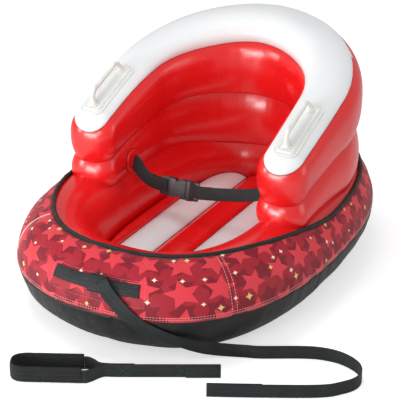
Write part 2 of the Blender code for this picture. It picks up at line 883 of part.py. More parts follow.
def handle_pad(name, side):
    """Stepped pad moulded to the arm."""
    layers = (
        (0.0, PAD_SEAT - PAD_SINK),
        (0.0, PAD_SEAT + PAD_FLANGE * 0.6),
        (PAD_EDGE, PAD_SEAT + PAD_FLANGE),
        (PAD_STEP_INSET, PAD_SEAT + PAD_FLANGE),
        (PAD_STEP_INSET + PAD_DRAFT, PAD_TOP - PAD_EDGE),
        (PAD_STEP_INSET + PAD_DRAFT * 3, PAD_TOP),
    )
    rings = []
    for inset, lift in layers:
        outline = rounded_rectangle(
            PAD_HALF_LENGTH - inset, PAD_HALF_WIDTH - inset, PAD_CORNER - inset, PAD_CORNER_POINTS
        )
        rings.append([upper_top(side, u, HANDLE_OUT + v, lift) for u, v in outline])
    rings.append([upper_top(side, 0.0, HANDLE_OUT, PAD_TOP)])
    pad = loft(name, rings, HANDLE_PLASTIC)
    add_boolean(pad, SKIN_CUTTER)
    return pad


def handle_grip(name, side):
    """Arched grip with a thick foot at each end."""
    reach = GRIP_FEET / 2
    seat = PAD_TOP + 2 * GAP
    half = [(reach * (1 - way), HANDLE_RISE * height, size) for way, height, size in GRIP_ARCH]
    route = [(-u, h, size) for u, h, size in half] + [(u, h, size) for u, h, size in reversed(half)]
    points = [upper_top(side, u, HANDLE_OUT, seat + h) for u, h, size in route]
    radii = [size for u, h, size in route]
    return poly_curve(name, points, HANDLE_ROD, HANDLE_PLASTIC, resolution=3, radii=radii)


for label, side in (("right", 1), ("left", -1)):
    handle_pad("handle_pad_" + label, side)
    handle_grip("handle_grip_" + label, side)


# Lap belt, from a patch on the middle of each arm's lower tube
BELT_HEIGHT = lower_heights(BELT_Y)[0] - BELT_BELOW_MIDDLE
BELT_MIDDLE = BELT_HEIGHT - BELT_DROP
BELT_REACH = BACK_HALF_WIDTH - arm_width(False, BELT_Y) / 2 - 2 * GAP
BELT_FACE = Vector((0.0, -math.cos(BELT_TILT), math.sin(BELT_TILT)))
BELT_UP = Vector((0.0, math.sin(BELT_TILT), math.cos(BELT_TILT)))
BUCKLE_END = BUCKLE_START + ADJUSTER_LENGTH + SOCKET_LENGTH + GAP + PLUG_LENGTH


def belt_point(x, face=0.0, up=0.0):
    return Vector((x, BELT_Y, BELT_MIDDLE)) + BELT_FACE * face + BELT_UP * up


def ribbon(name, points, across, width, thick, skin=BLACK_WEBBING):
    """A strap along points, its width laid along the vectors across."""
    rows = []
    for point, side in zip(points, across):
        rows.append([point - side * width / 2, point + side * width / 2])
    strap = sheet(name, rows, thick, skin)
    strap.modifiers["thickness"].offset = 0.0
    return strap


def smooth_route(corners, count):
    """Evenly spaced points on a smooth curve through corners."""
    padded = [corners[0] * 2 - corners[1]] + corners + [corners[-1] * 2 - corners[-2]]
    dense = []
    for a, b, c, d in zip(padded, padded[1:], padded[2:], padded[3:]):
        for k in range(24):
            t = k / 24
            bend = (a * -1 + b * 3 - c * 3 + d) * t ** 3
            bend += (a * 2 - b * 5 + c * 4 - d) * t ** 2
            dense.append((bend + (c - a) * t + b * 2) / 2)
    dense.append(corners[-1])
    path = PlanPath(dense, closed=False)
    return [path.point(i / (count - 1)) for i in range(count)]


def inner_side(side, along, up, lift):
    """A point off the inner side of the lower tube at the belt."""
    y = BELT_Y + along
    half_width = arm_width(False, y) / 2
    centre, half = lower_heights(y)
    sine = (BELT_HEIGHT + up - centre) / half
    out = math.sqrt(1 - sine * sine)
    normal = Vector((out / half_width, 0.0, sine / half)).normalized()
    x = BACK_HALF_WIDTH - half_width * out - normal.x * lift
    return Vector((side * x, y, BELT_HEIGHT + up + normal.z * lift))


PATCH_SEAT = 2 * GAP


def belt_patch(name, side):
    """Round patch welded to the arm, with a slot that the webbing comes out of."""
    layers = (
        (0.0, PATCH_SEAT - PATCH_SINK),
        (0.0, PATCH_SEAT + PATCH_THICK * 0.5),
        (PATCH_EDGE, PATCH_SEAT + PATCH_THICK),
        (PATCH_RADIUS * PATCH_INNER_SHARE, PATCH_SEAT + PATCH_THICK),
    )
    rings = []
    for inset, lift in layers:
        radius = PATCH_RADIUS - inset
        ring = []
        for k in range(PATCH_POINTS):
            angle = 2 * math.pi * k / PATCH_POINTS
            ring.append(inner_side(side, radius * math.cos(angle), radius * math.sin(angle), lift))
        rings.append(ring)
    rings.append([inner_side(side, 0.0, 0.0, PATCH_SEAT + PATCH_THICK)])
    patch = loft(name, rings, RED_VINYL)
    add_boolean(patch, LOWER_CUTTER)
    slot = box_cutter(
        name + "_slot",
        (SLOT_CUT, WEB_THICK + 2 * SLOT_PLAY, WEB_WIDTH + 2 * SLOT_PLAY),
        (side * (BACK_HALF_WIDTH - arm_width(False, BELT_Y) / 2), BELT_Y, BELT_HEIGHT),
    )
    slot.rotation_euler.x = -BELT_TILT
    add_boolean(patch, slot)
    return patch


def box(name, size, place, skin, collection=PARTS):
    bm = bmesh.new()
    bmesh.ops.create_cube(bm, size=1.0, matrix=Matrix.Diagonal((*size, 1.0)))
    made = finish(bm, name, skin, collection, smooth=False)
    made.location = place
    return made


def box_cutter(name, size, place):
    return box(name, size, place, None, CUTTERS)


for label, side in (("right", 1), ("left", -1)):
    belt_patch("belt_patch_" + label, side)


MIDDLE_BAR = BUCKLE_START + BUCKLE_BAR + FIRST_SLOT
LOOP_OUT = BAR_THICK / 2 + GAP + WEB_THICK / 2
FOLD_OUT = (WEB_THICK + FOLD_GAP) / 2
SOCKET_START = BUCKLE_START + ADJUSTER_LENGTH
MOUTH = SOCKET_START + SOCKET_LENGTH


def belt_run(start, end, shape, face, count):
    """Points of the webbing between two places, with its drop and its face offset."""
    corners = []
    for share, drop in shape:
        x = start + (end - start) * share
        corners.append(belt_point(x, face(x), BELT_DROP * (1 - drop) / math.cos(BELT_TILT)))
    for corner in corners:
        corner.y = BELT_Y + BELT_FACE.y * face(corner.x)
    return smooth_route(corners, count)


def hairpin(centre, turn, out, from_front):
    """Points of webbing turned back round a bar; turn is 1 where it bends towards +X."""
    points = []
    for k in range(9):
        angle = math.pi * k / 8
        face = out * math.cos(angle) * (1 if from_front else -1)
        points.append(belt_point(centre + turn * out * math.sin(angle), face))
    return points


def ribbon_across(points, up):
    """Width vectors square to the run of the points and close to up."""
    made = []
    for i in range(len(points)):
        ahead = points[min(i + 1, len(points) - 1)]
        behind = points[max(i - 1, 0)]
        along = (ahead - behind).normalized()
        made.append((up - along * up.dot(along)).normalized())
    return made


def belt_run_height(run, x):
    """How far the webbing stands above the buckle's line at a place."""
    for a, b in zip(run, run[1:]):
        if a.x <= x <= b.x:
            share = (x - a.x) / (b.x - a.x)
            point = a.lerp(b, share)
            return (point - Vector((x, BELT_Y, BELT_MIDDLE))).dot(BELT_UP)
    return 0.0


def belt_strap_left():
    bar = MIDDLE_BAR + BUCKLE_BAR
    settle = BUCKLE_START - TAIL_LENGTH - BELT_SETTLE

    def face(x):
        return LOOP_OUT * smoothstep(x, PATCH_THICK * 2 - BELT_REACH, settle)

    run = belt_run(-BELT_REACH, BUCKLE_START - 0.001, BELT_LEFT_SHAPE, face, 16)
    level = [belt_point(BUCKLE_START + 0.003, LOOP_OUT), belt_point(bar - 0.002, LOOP_OUT)]
    tail = []
    for k in range(5):
        x = bar - 0.002 - (TAIL_LENGTH + bar - BUCKLE_START) * k / 4
        drop = belt_run_height(run, x) if x < BUCKLE_START else 0.0
        tail.append(belt_point(x, -LOOP_OUT, drop))
    points = run + level + hairpin(bar, 1, LOOP_OUT, True) + tail
    return ribbon("belt_strap_left", points, ribbon_across(points, BELT_UP), WEB_WIDTH, WEB_THICK)


def loop_out(x):
    """How far each layer of the folded webbing lies from the belt's middle."""
    return LOOP_OUT + (FOLD_OUT - LOOP_OUT) * smoothstep(x, BUCKLE_END, BUCKLE_END + BELT_SETTLE)


def belt_strap_right():
    bar = BUCKLE_END - BUCKLE_BAR
    fold_end = BUCKLE_END + FOLD_LENGTH

    def face(x):
        return loop_out(x) * (1 - smoothstep(x, fold_end + BELT_SETTLE / 2, fold_end + BELT_EASE))

    run = belt_run(BUCKLE_END + 0.001, BELT_REACH, BELT_RIGHT_SHAPE, face, 20)
    back = []
    for k in range(7):
        x = bar + 0.001 + (fold_end - bar) * k / 6
        drop = belt_run_height(run, x) if x > BUCKLE_END + 0.001 else 0.0
        back.append(belt_point(x, -loop_out(x), drop))
    front = [belt_point(bar + 0.001, LOOP_OUT)]
    points = list(reversed(back)) + hairpin(bar, -1, LOOP_OUT, False) + front + run
    return ribbon("belt_strap_right", points, ribbon_across(points, BELT_UP), WEB_WIDTH, WEB_THICK)


belt_strap_left()
belt_strap_right()


# Buckle
def buckle_loft(name, stations, skin, collection=PARTS):
    """A moulded body along the belt; each station is x, half width, half thickness, radius."""
    rings = []
    for x, half_width, half_thick, radius in stations:
        outline = rounded_rectangle(half_width, half_thick, radius, 2)
        rings.append([belt_point(x, v, u) for u, v in outline])
    return loft(name, rings, skin, collection=collection)


def buckle_box(name, low_x, high_x, up, width, thick):
    """A cutter square to the belt's face."""
    cutter = box_cutter(name, (high_x - low_x, thick, width), belt_point((low_x + high_x) / 2, 0.0, up))
    cutter.rotation_euler.x = -BELT_TILT
    return cutter


def buckle_socket():
    half = BUCKLE_WIDTH / 2
    thick = BUCKLE_THICK / 2
    body = buckle_loft(
        "buckle_socket",
        (
            (BUCKLE_START, half - BAR_ROUND * 2, BAR_THICK / 2 - GAP, BAR_ROUND * 0.9),
            (BUCKLE_START + BAR_NOSE, half - BAR_ROUND * 0.4, BAR_THICK / 2, BAR_ROUND),
            (SOCKET_START - BAR_ROUND, half, BAR_THICK / 2, BAR_ROUND),
            (SOCKET_START + BUCKLE_PLAY, half, thick * 0.80, BUCKLE_ROUND),
            (SOCKET_START + SOCKET_SHOULDER, half, thick, BUCKLE_ROUND),
            (MOUTH - MOUTH_LIP, half, thick, BUCKLE_ROUND),
            (MOUTH, half - MOUTH_BEVEL, thick - MOUTH_BEVEL, BUCKLE_ROUND),
        ),
        BUCKLE_PLASTIC,
    )
    slot_width = BUCKLE_WIDTH - 2 * RAIL_WIDTH
    first = BUCKLE_START + BUCKLE_BAR
    slots = ((first, MIDDLE_BAR), (MIDDLE_BAR + BUCKLE_BAR, SOCKET_START - BUCKLE_PLAY))
    for count, (low, high) in enumerate(slots):
        add_boolean(body, buckle_box("adjuster_slot_%d" % count, low, high, 0.0, slot_width, SLOT_THROUGH))
    cavity = buckle_loft(
        "socket_cavity",
        (
            (SOCKET_START + SOCKET_SHOULDER + BAR_ROUND, half - BUCKLE_WALL, thick - BUCKLE_WALL, BAR_NOSE),
            (MOUTH + SOCKET_SHOULDER, half - BUCKLE_WALL, thick - BUCKLE_WALL, BAR_NOSE),
        ),
        None,
        CUTTERS,
    )
    add_boolean(body, cavity)
    for count, side in enumerate((1, -1)):
        up = side * (half + NOTCH_RADIUS - NOTCH_DEPTH)
        add_boolean(body, notch_cutter("notch_%d" % count, SOCKET_START + NOTCH_PLACE, up))
    return body


def notch_cutter(name, x, up):
    rings = []
    for face in (-BUCKLE_THICK, BUCKLE_THICK):
        ring = []
        for k in range(NOTCH_POINTS):
            angle = 2 * math.pi * k / NOTCH_POINTS
            out = up + NOTCH_RADIUS * math.sin(angle)
            ring.append(belt_point(x + NOTCH_RADIUS * math.cos(angle), face, out))
        rings.append(ring)
    return loft(name, rings, None, collection=CUTTERS)


def buckle_plug():
    half = BUCKLE_WIDTH / 2
    thick = BUCKLE_THICK / 2
    start = MOUTH + GAP
    body = buckle_loft(
        "buckle_plug",
        (
            (start, half - BUCKLE_PLAY, thick - BUCKLE_PLAY, BUCKLE_ROUND),
            (start + 0.0015, half + BUCKLE_PLAY, thick, BUCKLE_ROUND),
            (start + PLUG_BODY, half + PLUG_FLARE, thick, BUCKLE_ROUND),
            (BUCKLE_END - 0.0125, half, BAR_THICK, BAR_NOSE),
            (BUCKLE_END - 0.0105, half, BAR_THICK / 2, BAR_ROUND),
            (BUCKLE_END - BAR_NOSE, half - PLUG_FLARE, BAR_THICK / 2, BAR_ROUND),
            (BUCKLE_END, half - 0.0028, BAR_THICK / 2 - GAP, BAR_ROUND * 0.9),
        ),
        BUCKLE_PLASTIC,
    )
    tongue_half = TONGUE_WIDTH / 2
    tongue_thick = thick - BUCKLE_WALL - BUCKLE_PLAY
    tongue = buckle_loft(
        "tongue",
        (
            (MOUTH - PRONG_LENGTH + 0.004, tongue_half * 0.6, tongue_thick * 0.5, 0.0008),
            (MOUTH - PRONG_LENGTH + 0.009, tongue_half, tongue_thick, 0.0010),
            (start + 0.004, tongue_half, tongue_thick, 0.0010),
        ),
        None,
        CUTTERS,
    )
    add_boolean(body, tongue, "UNION")
    slot_width = BUCKLE_WIDTH - 2 * RAIL_WIDTH
    high = BUCKLE_END - BUCKLE_BAR
    slot = buckle_box("plug_slot", high - PLUG_SLOT, high, 0.0, slot_width, SLOT_THROUGH)
    add_boolean(body, slot)
    return body


def buckle_prong(name, side):
    """Springy arm with a barb that sits in the socket's notch."""
    stem = BUCKLE_WIDTH / 2 - BUCKLE_WALL - PRONG_STEM - 0.0042
    barb = BUCKLE_WIDTH / 2 - BUCKLE_WALL - BUCKLE_PLAY
    behind = SOCKET_LENGTH - NOTCH_PLACE
    outline = (
        (0.0, stem),
        (0.0, stem + PRONG_STEM),
        (0.0060, stem + PRONG_STEM),
        (behind - 0.0065, stem + PRONG_STEM + 0.0012),
        (behind - 0.0058, barb),
        (behind + 0.0020, barb),
        (behind + 0.0085, barb - 0.0020),
        (PRONG_LENGTH, barb - 0.0055),
        (PRONG_LENGTH - 0.0006, barb - 0.0078),
        (behind + 0.0060, stem + 0.0006),
        (behind - 0.0060, stem + 0.0010),
        (0.0060, stem),
    )
    rings = []
    for face in (-PRONG_THICK / 2, PRONG_THICK / 2):
        rings.append([belt_point(MOUTH - back, face, side * up) for back, up in outline])
    return loft(name, rings, BUCKLE_PLASTIC)


buckle_socket()
for piece in (
    buckle_plug(),
    buckle_prong("buckle_prong_upper", 1),
    buckle_prong("buckle_prong_lower", -1),
):
    move_origin(piece, belt_point(MOUTH))


# Anchor strip, hitch and tow strap
COVER_OUT = COVER_THICK + GAP
SECTION_RADIUS = TUBE_HALF_HEIGHT + COVER_OUT


def on_cover(share, along, lift):
    """A point over the front of the cover; along is measured up its section."""
    return ring_surface(share, STRIP_ANGLE + along / SECTION_RADIUS, COVER_OUT + lift)


def strip_lift(share):
    """The strip rises over the hitch that passes under it."""
    away = abs(share - HITCH_SHARE) * RING.length
    return COVER_REST + (HITCH_LIFT - COVER_REST) * (
        1 - smoothstep(away, HITCH_HALF_WIDTH, HITCH_HALF_WIDTH * 2.4)
    )


def tow_anchor_strip():
    rows = []
    for i in range(STRIP_COLUMNS + 1):
        share = STRIP_START_SHARE + (STRIP_END_SHARE - STRIP_START_SHARE) * i / STRIP_COLUMNS
        row = []
        for along in (-WEB_WIDTH / 2, 0.0, WEB_WIDTH / 2):
            row.append(on_cover(share, along, strip_lift(share)))
        rows.append(row)
    return sheet("tow_anchor_strip", rows, STRIP_THICK, BLACK_WEBBING)


def tow_hitch():
    """Webbing looped round the strip."""
    under = HITCH_LIFT / 2
    over = HITCH_LIFT + STRIP_THICK + GAP * 2 + HITCH_THICK / 2
    middle = (under + over) / 2
    radius = (over - under) / 2
    end = WEB_WIDTH / 2 + GAP
    route = [(-end + end * k / 2, over, 0.0, 1.0) for k in range(4)]
    for k in range(6):
        angle = math.pi / 2 - math.pi * k / 5
        spot = (end + radius * math.cos(angle), middle + radius * math.sin(angle))
        route.append((*spot, math.cos(angle), math.sin(angle)))
    route += [(end - end * k / 2, under, 0.0, -1.0) for k in range(1, 4)]
    for k in range(6):
        angle = -math.pi / 2 - math.pi * k / 5
        spot = (-end + radius * math.cos(angle), middle + radius * math.sin(angle))
        route.append((*spot, math.cos(angle), math.sin(angle)))
    half = HITCH_HALF_WIDTH / RING.length
    rings = []
    for along, lift, out_along, out_lift in route[:-1]:
        ring = []
        for side, face in ((-1, -1), (1, -1), (1, 1), (-1, 1)):
            shift = face * HITCH_THICK / 2
            place = (HITCH_SHARE + side * half, along + out_along * shift, lift + out_lift * shift)
            ring.append(on_cover(*place))
        rings.append(ring)
    return loft("tow_hitch", rings, BLACK_WEBBING, closed=True)


def cover_normal(point):
    nearest = min(RING.points, key=lambda q: (q.x - point.x) ** 2 + (q.y - point.y) ** 2)
    return (point - Vector((nearest.x, nearest.y, TUBE_CENTRE_HEIGHT))).normalized()


def heading(points, i):
    return (points[min(i + 1, len(points) - 1)] - points[max(i - 1, 0)]).normalized()


def sideways(points, i):
    """Level direction square to the run of a strap that stands on its edge."""
    along = heading(points, i)
    return Vector((along.y, -along.x, 0.0)).normalized()


def folded_end(points, length, out):
    """The turn and the doubled-back stretch at a strap's far end."""
    last = len(points) - 1
    along = heading(points, last)
    aside = sideways(points, last)
    turned = []
    for k in range(1, 8):
        angle = math.pi * k / 7
        away = aside * (out / 2) * (1 - math.cos(angle))
        turned.append(points[last] + away + along * abs(out) / 2 * math.sin(angle))
    run = 0.0
    for i in range(last - 1, 0, -1):
        run += (points[i + 1] - points[i]).length
        if run > length:
            break
        turned.append(points[i] + sideways(points, i) * out)
    return turned


def tow_strap():
    points = smooth_route([Vector(p) for p in TOW_ROUTE], TOW_POINTS)
    upright = Vector((0.0, 0.0, 1.0))
    across = []
    for i, point in enumerate(points):
        on_ground = 1 - smoothstep(point.z, TOW_WIDTH / 2 + 0.003, TOW_WIDTH + 0.030)
        leaning = cover_normal(point).cross(heading(points, i)).normalized()
        across.append(leaning.lerp(upright, on_ground).normalized())
    fold = folded_end(points, TOW_FOLD, TOW_THICK + FOLD_GAP)
    points += fold
    across += [upright] * len(fold)
    return ribbon("tow_strap", points, across, TOW_WIDTH, TOW_THICK)


tow_anchor_strip()
tow_hitch()
tow_strap()


# Loose pull strap and its padded grip
def grip_place(along, aside, height=STRAP_HEIGHT):
    """A point in the grip's own frame; along runs to its far end."""
    forward = Vector((math.cos(GRIP_HEADING), math.sin(GRIP_HEADING), 0.0))
    across = Vector((math.sin(GRIP_HEADING), -math.cos(GRIP_HEADING), 0.0))
    spot = Vector((*GRIP_PLACE, height)) + forward * along + across * aside
    return spot


def fork_points(side):
    """From the grip's end to the fork."""
    half = GRIP_WIDTH / 2
    places = ((-GAP, half), (-0.008, half), (-0.020, half * 0.66), (-0.031, half * 0.22))
    return [grip_place(a, side * b) for a, b in places]


def pull_strap():
    upright = Vector((0.0, 0.0, 1.0))
    out = TOW_THICK + FOLD_GAP
    main = [Vector(p) for p in PULL_ROUTE]
    points = smooth_route(fork_points(-1) + main, 26)
    points += folded_end(points, PULL_FOLD, out)
    ribbon("pull_strap", points, [upright] * len(points), TOW_WIDTH, TOW_THICK)
    shared = smooth_route(main, 24)
    second = []
    run = 0.0
    for i, point in enumerate(shared):
        run += (point - shared[max(i - 1, 0)]).length
        if run <= PULL_RETURN:
            second.append(point + sideways(shared, i) * -out)
    points = smooth_route(fork_points(1) + second[1:], 14)
    ribbon("pull_return", points, [upright] * len(points), TOW_WIDTH, TOW_THICK)


def pull_grip():
    half = GRIP_WIDTH / 2
    route = [((GRIP_LENGTH - GRIP_END) * k / 4, -half) for k in range(4)]
    for k in range(11):
        angle = -math.pi / 2 + math.pi * k / 10
        x, y = superellipse(angle, GRIP_END, half, 2.6)
        route.append((GRIP_LENGTH - GRIP_END + x, y))
    route += [((GRIP_LENGTH - GRIP_END) * k / 4, half) for k in range(3, -1, -1)]
    points = [grip_place(a, b, GRIP_HEIGHT / 2 + GAP) for a, b in route]
    rings = []
    for i, point in enumerate(points):
        aside = sideways(points, i)
        outline = rounded_rectangle(GRIP_THICK / 2, GRIP_HEIGHT / 2, GRIP_THICK * 0.4, 1)
        rings.append([point + aside * u + Vector((0.0, 0.0, v)) for u, v in outline])
    return loft("pull_grip", rings, PADDED_SLEEVE)


pull_strap()
pull_grip()


# Valves
def turned(name, profile, skin, steps=24):
    """A profile of radius and height pairs turned about its own Z axis."""
    bm = bmesh.new()
    made = [bm.verts.new((radius, 0.0, height)) for radius, height in profile]
    for a, b in zip(made, made[1:]):
        bm.edges.new((a, b))
    turned_object = finish(bm, name, skin, smooth=False)
    screw = turned_object.modifiers.new("turned", "SCREW")
    screw.steps = steps
    screw.render_steps = steps
    screw.use_merge_vertices = True
    screw.merge_threshold = 0.00001
    return turned_object


def valve(name, place, direction, cutter):
    """A valve body seated on a tube, with a push-in cap."""
    turn = direction.to_track_quat("Z", "Y")
    seat = -0.0050
    base = GAP
    body = turned(
        name + "_body",
        (
            (0.0, base + 0.0005),
            (VALVE_BORE, base + 0.0005),
            (VALVE_BORE, VALVE_FLANGE_THICK + VALVE_NECK_HEIGHT),
            (VALVE_NECK, VALVE_FLANGE_THICK + VALVE_NECK_HEIGHT),
            (VALVE_NECK, VALVE_FLANGE_THICK),
            (VALVE_FLANGE, VALVE_FLANGE_THICK),
            (VALVE_FLANGE, seat),
            (0.0, seat),
        ),
        VALVE_PLASTIC,
    )
    seat_on_neck = VALVE_FLANGE_THICK + VALVE_NECK_HEIGHT + GAP
    cap = turned(
        name + "_cap",
        (
            (0.0, seat_on_neck + VALVE_CAP_HEIGHT),
            (VALVE_CAP - 0.0012, seat_on_neck + VALVE_CAP_HEIGHT),
            (VALVE_CAP, seat_on_neck + VALVE_CAP_HEIGHT - 0.0012),
            (VALVE_CAP, seat_on_neck),
            (VALVE_PLUG, seat_on_neck),
            (VALVE_PLUG, seat_on_neck - VALVE_NECK_HEIGHT + 0.0010),
            (0.0, seat_on_neck - VALVE_NECK_HEIGHT + 0.0010),
        ),
        VALVE_PLASTIC,
    )
    for piece in (body, cap):
        piece.location = place
        piece.rotation_mode = "QUATERNION"
        piece.rotation_quaternion = turn
    add_boolean(body, cutter)


BASE_VALVE = ring_surface(0.0, BASE_VALVE_ANGLE)
BASE_VALVE_AXIS = (ring_surface(0.0, BASE_VALVE_ANGLE, 0.010) - BASE_VALVE).normalized()
valve("base_valve", BASE_VALVE, BASE_VALVE_AXIS, RING_CUTTER)
BACK_VALVE = back_section(0.5, 0.0, False)
valve("back_valve", BACK_VALVE, Vector((0.0, 1.0, 0.0)), LOWER_CUTTER)
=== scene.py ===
import math

import bmesh
import bpy
import numpy as np
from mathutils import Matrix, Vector


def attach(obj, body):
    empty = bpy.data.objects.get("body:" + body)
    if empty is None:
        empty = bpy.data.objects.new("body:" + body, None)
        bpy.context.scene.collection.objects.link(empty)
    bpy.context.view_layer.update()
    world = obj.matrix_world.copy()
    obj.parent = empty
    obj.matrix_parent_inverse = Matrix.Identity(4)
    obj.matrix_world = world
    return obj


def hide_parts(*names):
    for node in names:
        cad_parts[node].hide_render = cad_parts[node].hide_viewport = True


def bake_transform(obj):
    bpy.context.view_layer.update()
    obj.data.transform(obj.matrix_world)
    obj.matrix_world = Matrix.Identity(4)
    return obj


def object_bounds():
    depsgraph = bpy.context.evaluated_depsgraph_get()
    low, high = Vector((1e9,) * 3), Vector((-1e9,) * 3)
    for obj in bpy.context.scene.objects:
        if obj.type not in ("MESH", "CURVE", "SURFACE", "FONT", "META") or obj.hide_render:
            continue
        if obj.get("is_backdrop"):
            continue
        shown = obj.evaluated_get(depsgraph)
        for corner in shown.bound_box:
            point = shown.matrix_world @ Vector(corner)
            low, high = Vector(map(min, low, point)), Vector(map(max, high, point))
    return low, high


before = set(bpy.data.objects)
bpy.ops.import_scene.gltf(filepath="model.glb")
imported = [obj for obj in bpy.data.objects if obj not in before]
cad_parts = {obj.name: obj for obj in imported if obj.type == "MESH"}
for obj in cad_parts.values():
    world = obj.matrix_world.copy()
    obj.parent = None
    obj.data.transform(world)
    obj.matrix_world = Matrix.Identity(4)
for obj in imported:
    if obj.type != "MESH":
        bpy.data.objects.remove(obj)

CAD_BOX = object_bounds()

# Sizes in metres, as the solids have them; GAP keeps neighbouring pieces apart
GAP = 0.0003

# Air ring: its plan and its section
RING_HALF_WIDTH = 0.213
RING_FRONT = 0.301
RING_BACK = 0.379
RING_SQUARENESS = 2.57
RING_STATIONS = 56
TUBE_OUT = 0.0965
TUBE_IN = 0.072
TUBE_TOP = 0.187
TUBE_SQUARENESS = 2.15
UNDERSIDE_SQUARENESS = 1.70

# Cover
COVER_THICK = 0.0032
OPENING_FRONT = 0.018
OPENING_BACK = 0.072
OPENING_FALL_START = -0.351
OPENING_FALL_END = 0.030
SIDE_SEAM_STATION = 5.75
BINDING_RADIUS = 0.004
# The cover's outside runs longer than the ring's curve
COVER_STRETCH = 1.18
SHELL_LOWEST = 0.0001

# Air floor
FLOOR_TOP = 0.093
FLOOR_VALLEY = 0.012
FLOOR_END_DROP = 0.004
FLOOR_END_LENGTH = 0.014
FLOOR_CROWN_POWER = 2.6
CENTRE_CHANNEL = 0.069
MIDDLE_CHANNEL = 0.077
LEAST_SIDE_CHANNEL = 0.012

# Backrest: its plan, its joint lines (height at the arms, slope and bend) and its tubes
BACK_HALF_WIDTH = 0.217
BACK_FRONT = -0.106
BACK_ARC_START = 0.106
BACK_REAR = 0.333
BACK_SQUARENESS = 1.92
BOTTOM_LINE = (0.160, 0.049, -0.139)
MIDDLE_LINE = (0.221, 0.300, -0.360)
TOP_LINE = (0.316, 0.390, -0.128)
LOWER_ARM_WIDTH = 0.110
LOWER_REAR_WIDTH = 0.122
UPPER_ARM_WIDTH = 0.110
UPPER_REAR_WIDTH = 0.158
BACK_SWELL = 1.7
UPPER_LEAN = -0.012
UPPER_SQUARENESS = 2.5
UPPER_BELOW_SHARE = 0.4712
ARM_END_LENGTH = 0.036
CONTACT = math.radians(40)
MERGE_WITHIN = 0.00003

# White skin: section angles of its two edges and its inner line, and the welds' grooves
SKIN_THICK = 0.0009
SKIN_ARM_ANGLES = (math.radians(41), math.radians(131))
SKIN_REAR_ANGLES = (math.radians(55), math.radians(157))
SKIN_TURN = (0.0, 0.30)
GROOVE_DEPTHS = (0.003, 0.0125)
GROOVE_REACH = (0.42, 0.11)
SKIN_SEAM_ANGLE = math.radians(74)
SKIN_SEAM_TURN = (0.20, 0.32)
SKIN_FRONT_ANGLE = math.radians(25)

# Grab handles
HANDLE_Y = -0.010
HANDLE_OUT = 0.004
PAD_HALF_LENGTH = 0.074
PAD_HALF_WIDTH = 0.025
PAD_CORNER = 0.016
PAD_FLANGE = 0.0018
PAD_STEP_INSET = 0.0075
PAD_STEP = 0.0026
GRIP_FEET = 0.104
HANDLE_RISE = 0.027
HANDLE_ROD = 0.0050
HANDLE_FOOT = 0.0080

# Lap belt and buckle; a shape lists shares of the run and of the drop
WEB_WIDTH = 0.027
WEB_THICK = 0.0018
BELT_Y = -0.012
BELT_TILT = math.radians(14)
BELT_BELOW_MIDDLE = 0.0011
BELT_DROP = 0.0390
BELT_LEFT_SHAPE = ((0, 0), (0.06, 0), (0.14, 0.13), (0.28, 0.44), (0.50, 0.75), (0.76, 0.94), (1, 1))
BELT_RIGHT_SHAPE = ((0, 1), (0.19, 0.88), (0.37, 0.75), (0.58, 0.58), (0.80, 0.32), (0.96, 0), (1, 0))
PATCH_RADIUS = 0.025
PATCH_THICK = 0.0018
BELT_SETTLE = 0.008
FOLD_GAP = 0.0006
FOLD_LENGTH = 0.030
TAIL_LENGTH = 0.024
BUCKLE_START = -0.094
ADJUSTER_LENGTH = 0.019
SOCKET_LENGTH = 0.043
PLUG_LENGTH = 0.028
BUCKLE_BAR = 0.0032
BAR_THICK = 0.0026
FIRST_SLOT = 0.0053

# Anchor strip and hitch, placed by shares of the ring's length
STRIP_START_SHARE = -0.0385
STRIP_END_SHARE = 0.0395
STRIP_ANGLE = math.radians(34)
STRIP_THICK = 0.0018
STRIP_BOXES = ((-0.0375, -0.0245), (0.0262, 0.0385))
STRIP_SURROUND = ((-0.0404, math.radians(15.0)), (0.0433, math.radians(45.7)))
COVER_REST = 0.0006
HITCH_SHARE = 0.0050
HITCH_HALF_WIDTH = 0.0155
HITCH_LIFT = 0.0052
HITCH_THICK = 0.0020

# Straps on the ground
TOW_WIDTH = 0.028
TOW_THICK = 0.0022
TOW_FOLD = 0.105
# Middle of the webbing, from the hitch to the far end
TOW_ROUTE = (
    (0.0208, -0.4352, 0.1640), (0.0295, -0.4385, 0.1545), (0.0386, -0.4390, 0.1431),
    (0.0502, -0.4385, 0.1312), (0.0642, -0.4383, 0.1190), (0.0786, -0.4370, 0.1064),
    (0.0921, -0.4342, 0.0960), (0.1081, -0.4286, 0.0847), (0.1250, -0.4206, 0.0750),
    (0.1437, -0.4090, 0.0640), (0.1600, -0.3965, 0.0545), (0.1750, -0.3835, 0.0450),
    (0.1915, -0.3655, 0.0345), (0.2100, -0.3430, 0.0240), (0.2345, -0.3210, 0.0165),
    (0.2620, -0.3065, 0.0145), (0.2890, -0.2960, 0.0145), (0.3540, -0.2600, 0.0145),
    (0.3910, -0.2450, 0.0145), (0.4300, -0.2420, 0.0145), (0.4680, -0.2550, 0.0145),
    (0.4900, -0.2780, 0.0145), (0.4940, -0.3070, 0.0145), (0.4800, -0.3350, 0.0145),
    (0.4470, -0.3680, 0.0145), (0.3510, -0.4210, 0.0145), (0.2650, -0.4650, 0.0145),
)
PULL_ROUTE = (
    (0.0640, -0.4960, 0.0145), (0.0900, -0.4830, 0.0145), (0.1390, -0.4560, 0.0145),
    (0.1880, -0.4290, 0.0145), (0.2530, -0.3930, 0.0145),
)
PULL_HEIGHT = 0.0145
PULL_FOLD = 0.070
PULL_RETURN = 0.062

# Sewn boxes: how far from a strap's end they start, or between which distances they lie
BOX_HALF_HEIGHT = 0.0105
BOX_LENGTH = 0.024
TOW_BOXES = (0.012, 0.082)
PULL_BOX = (0.020, 0.046)
PULL_END_BOX = (0.082, 0.058)
# Length and height of the box on the belt's sewn fold
LAP_BOX = (0.016, 0.019)

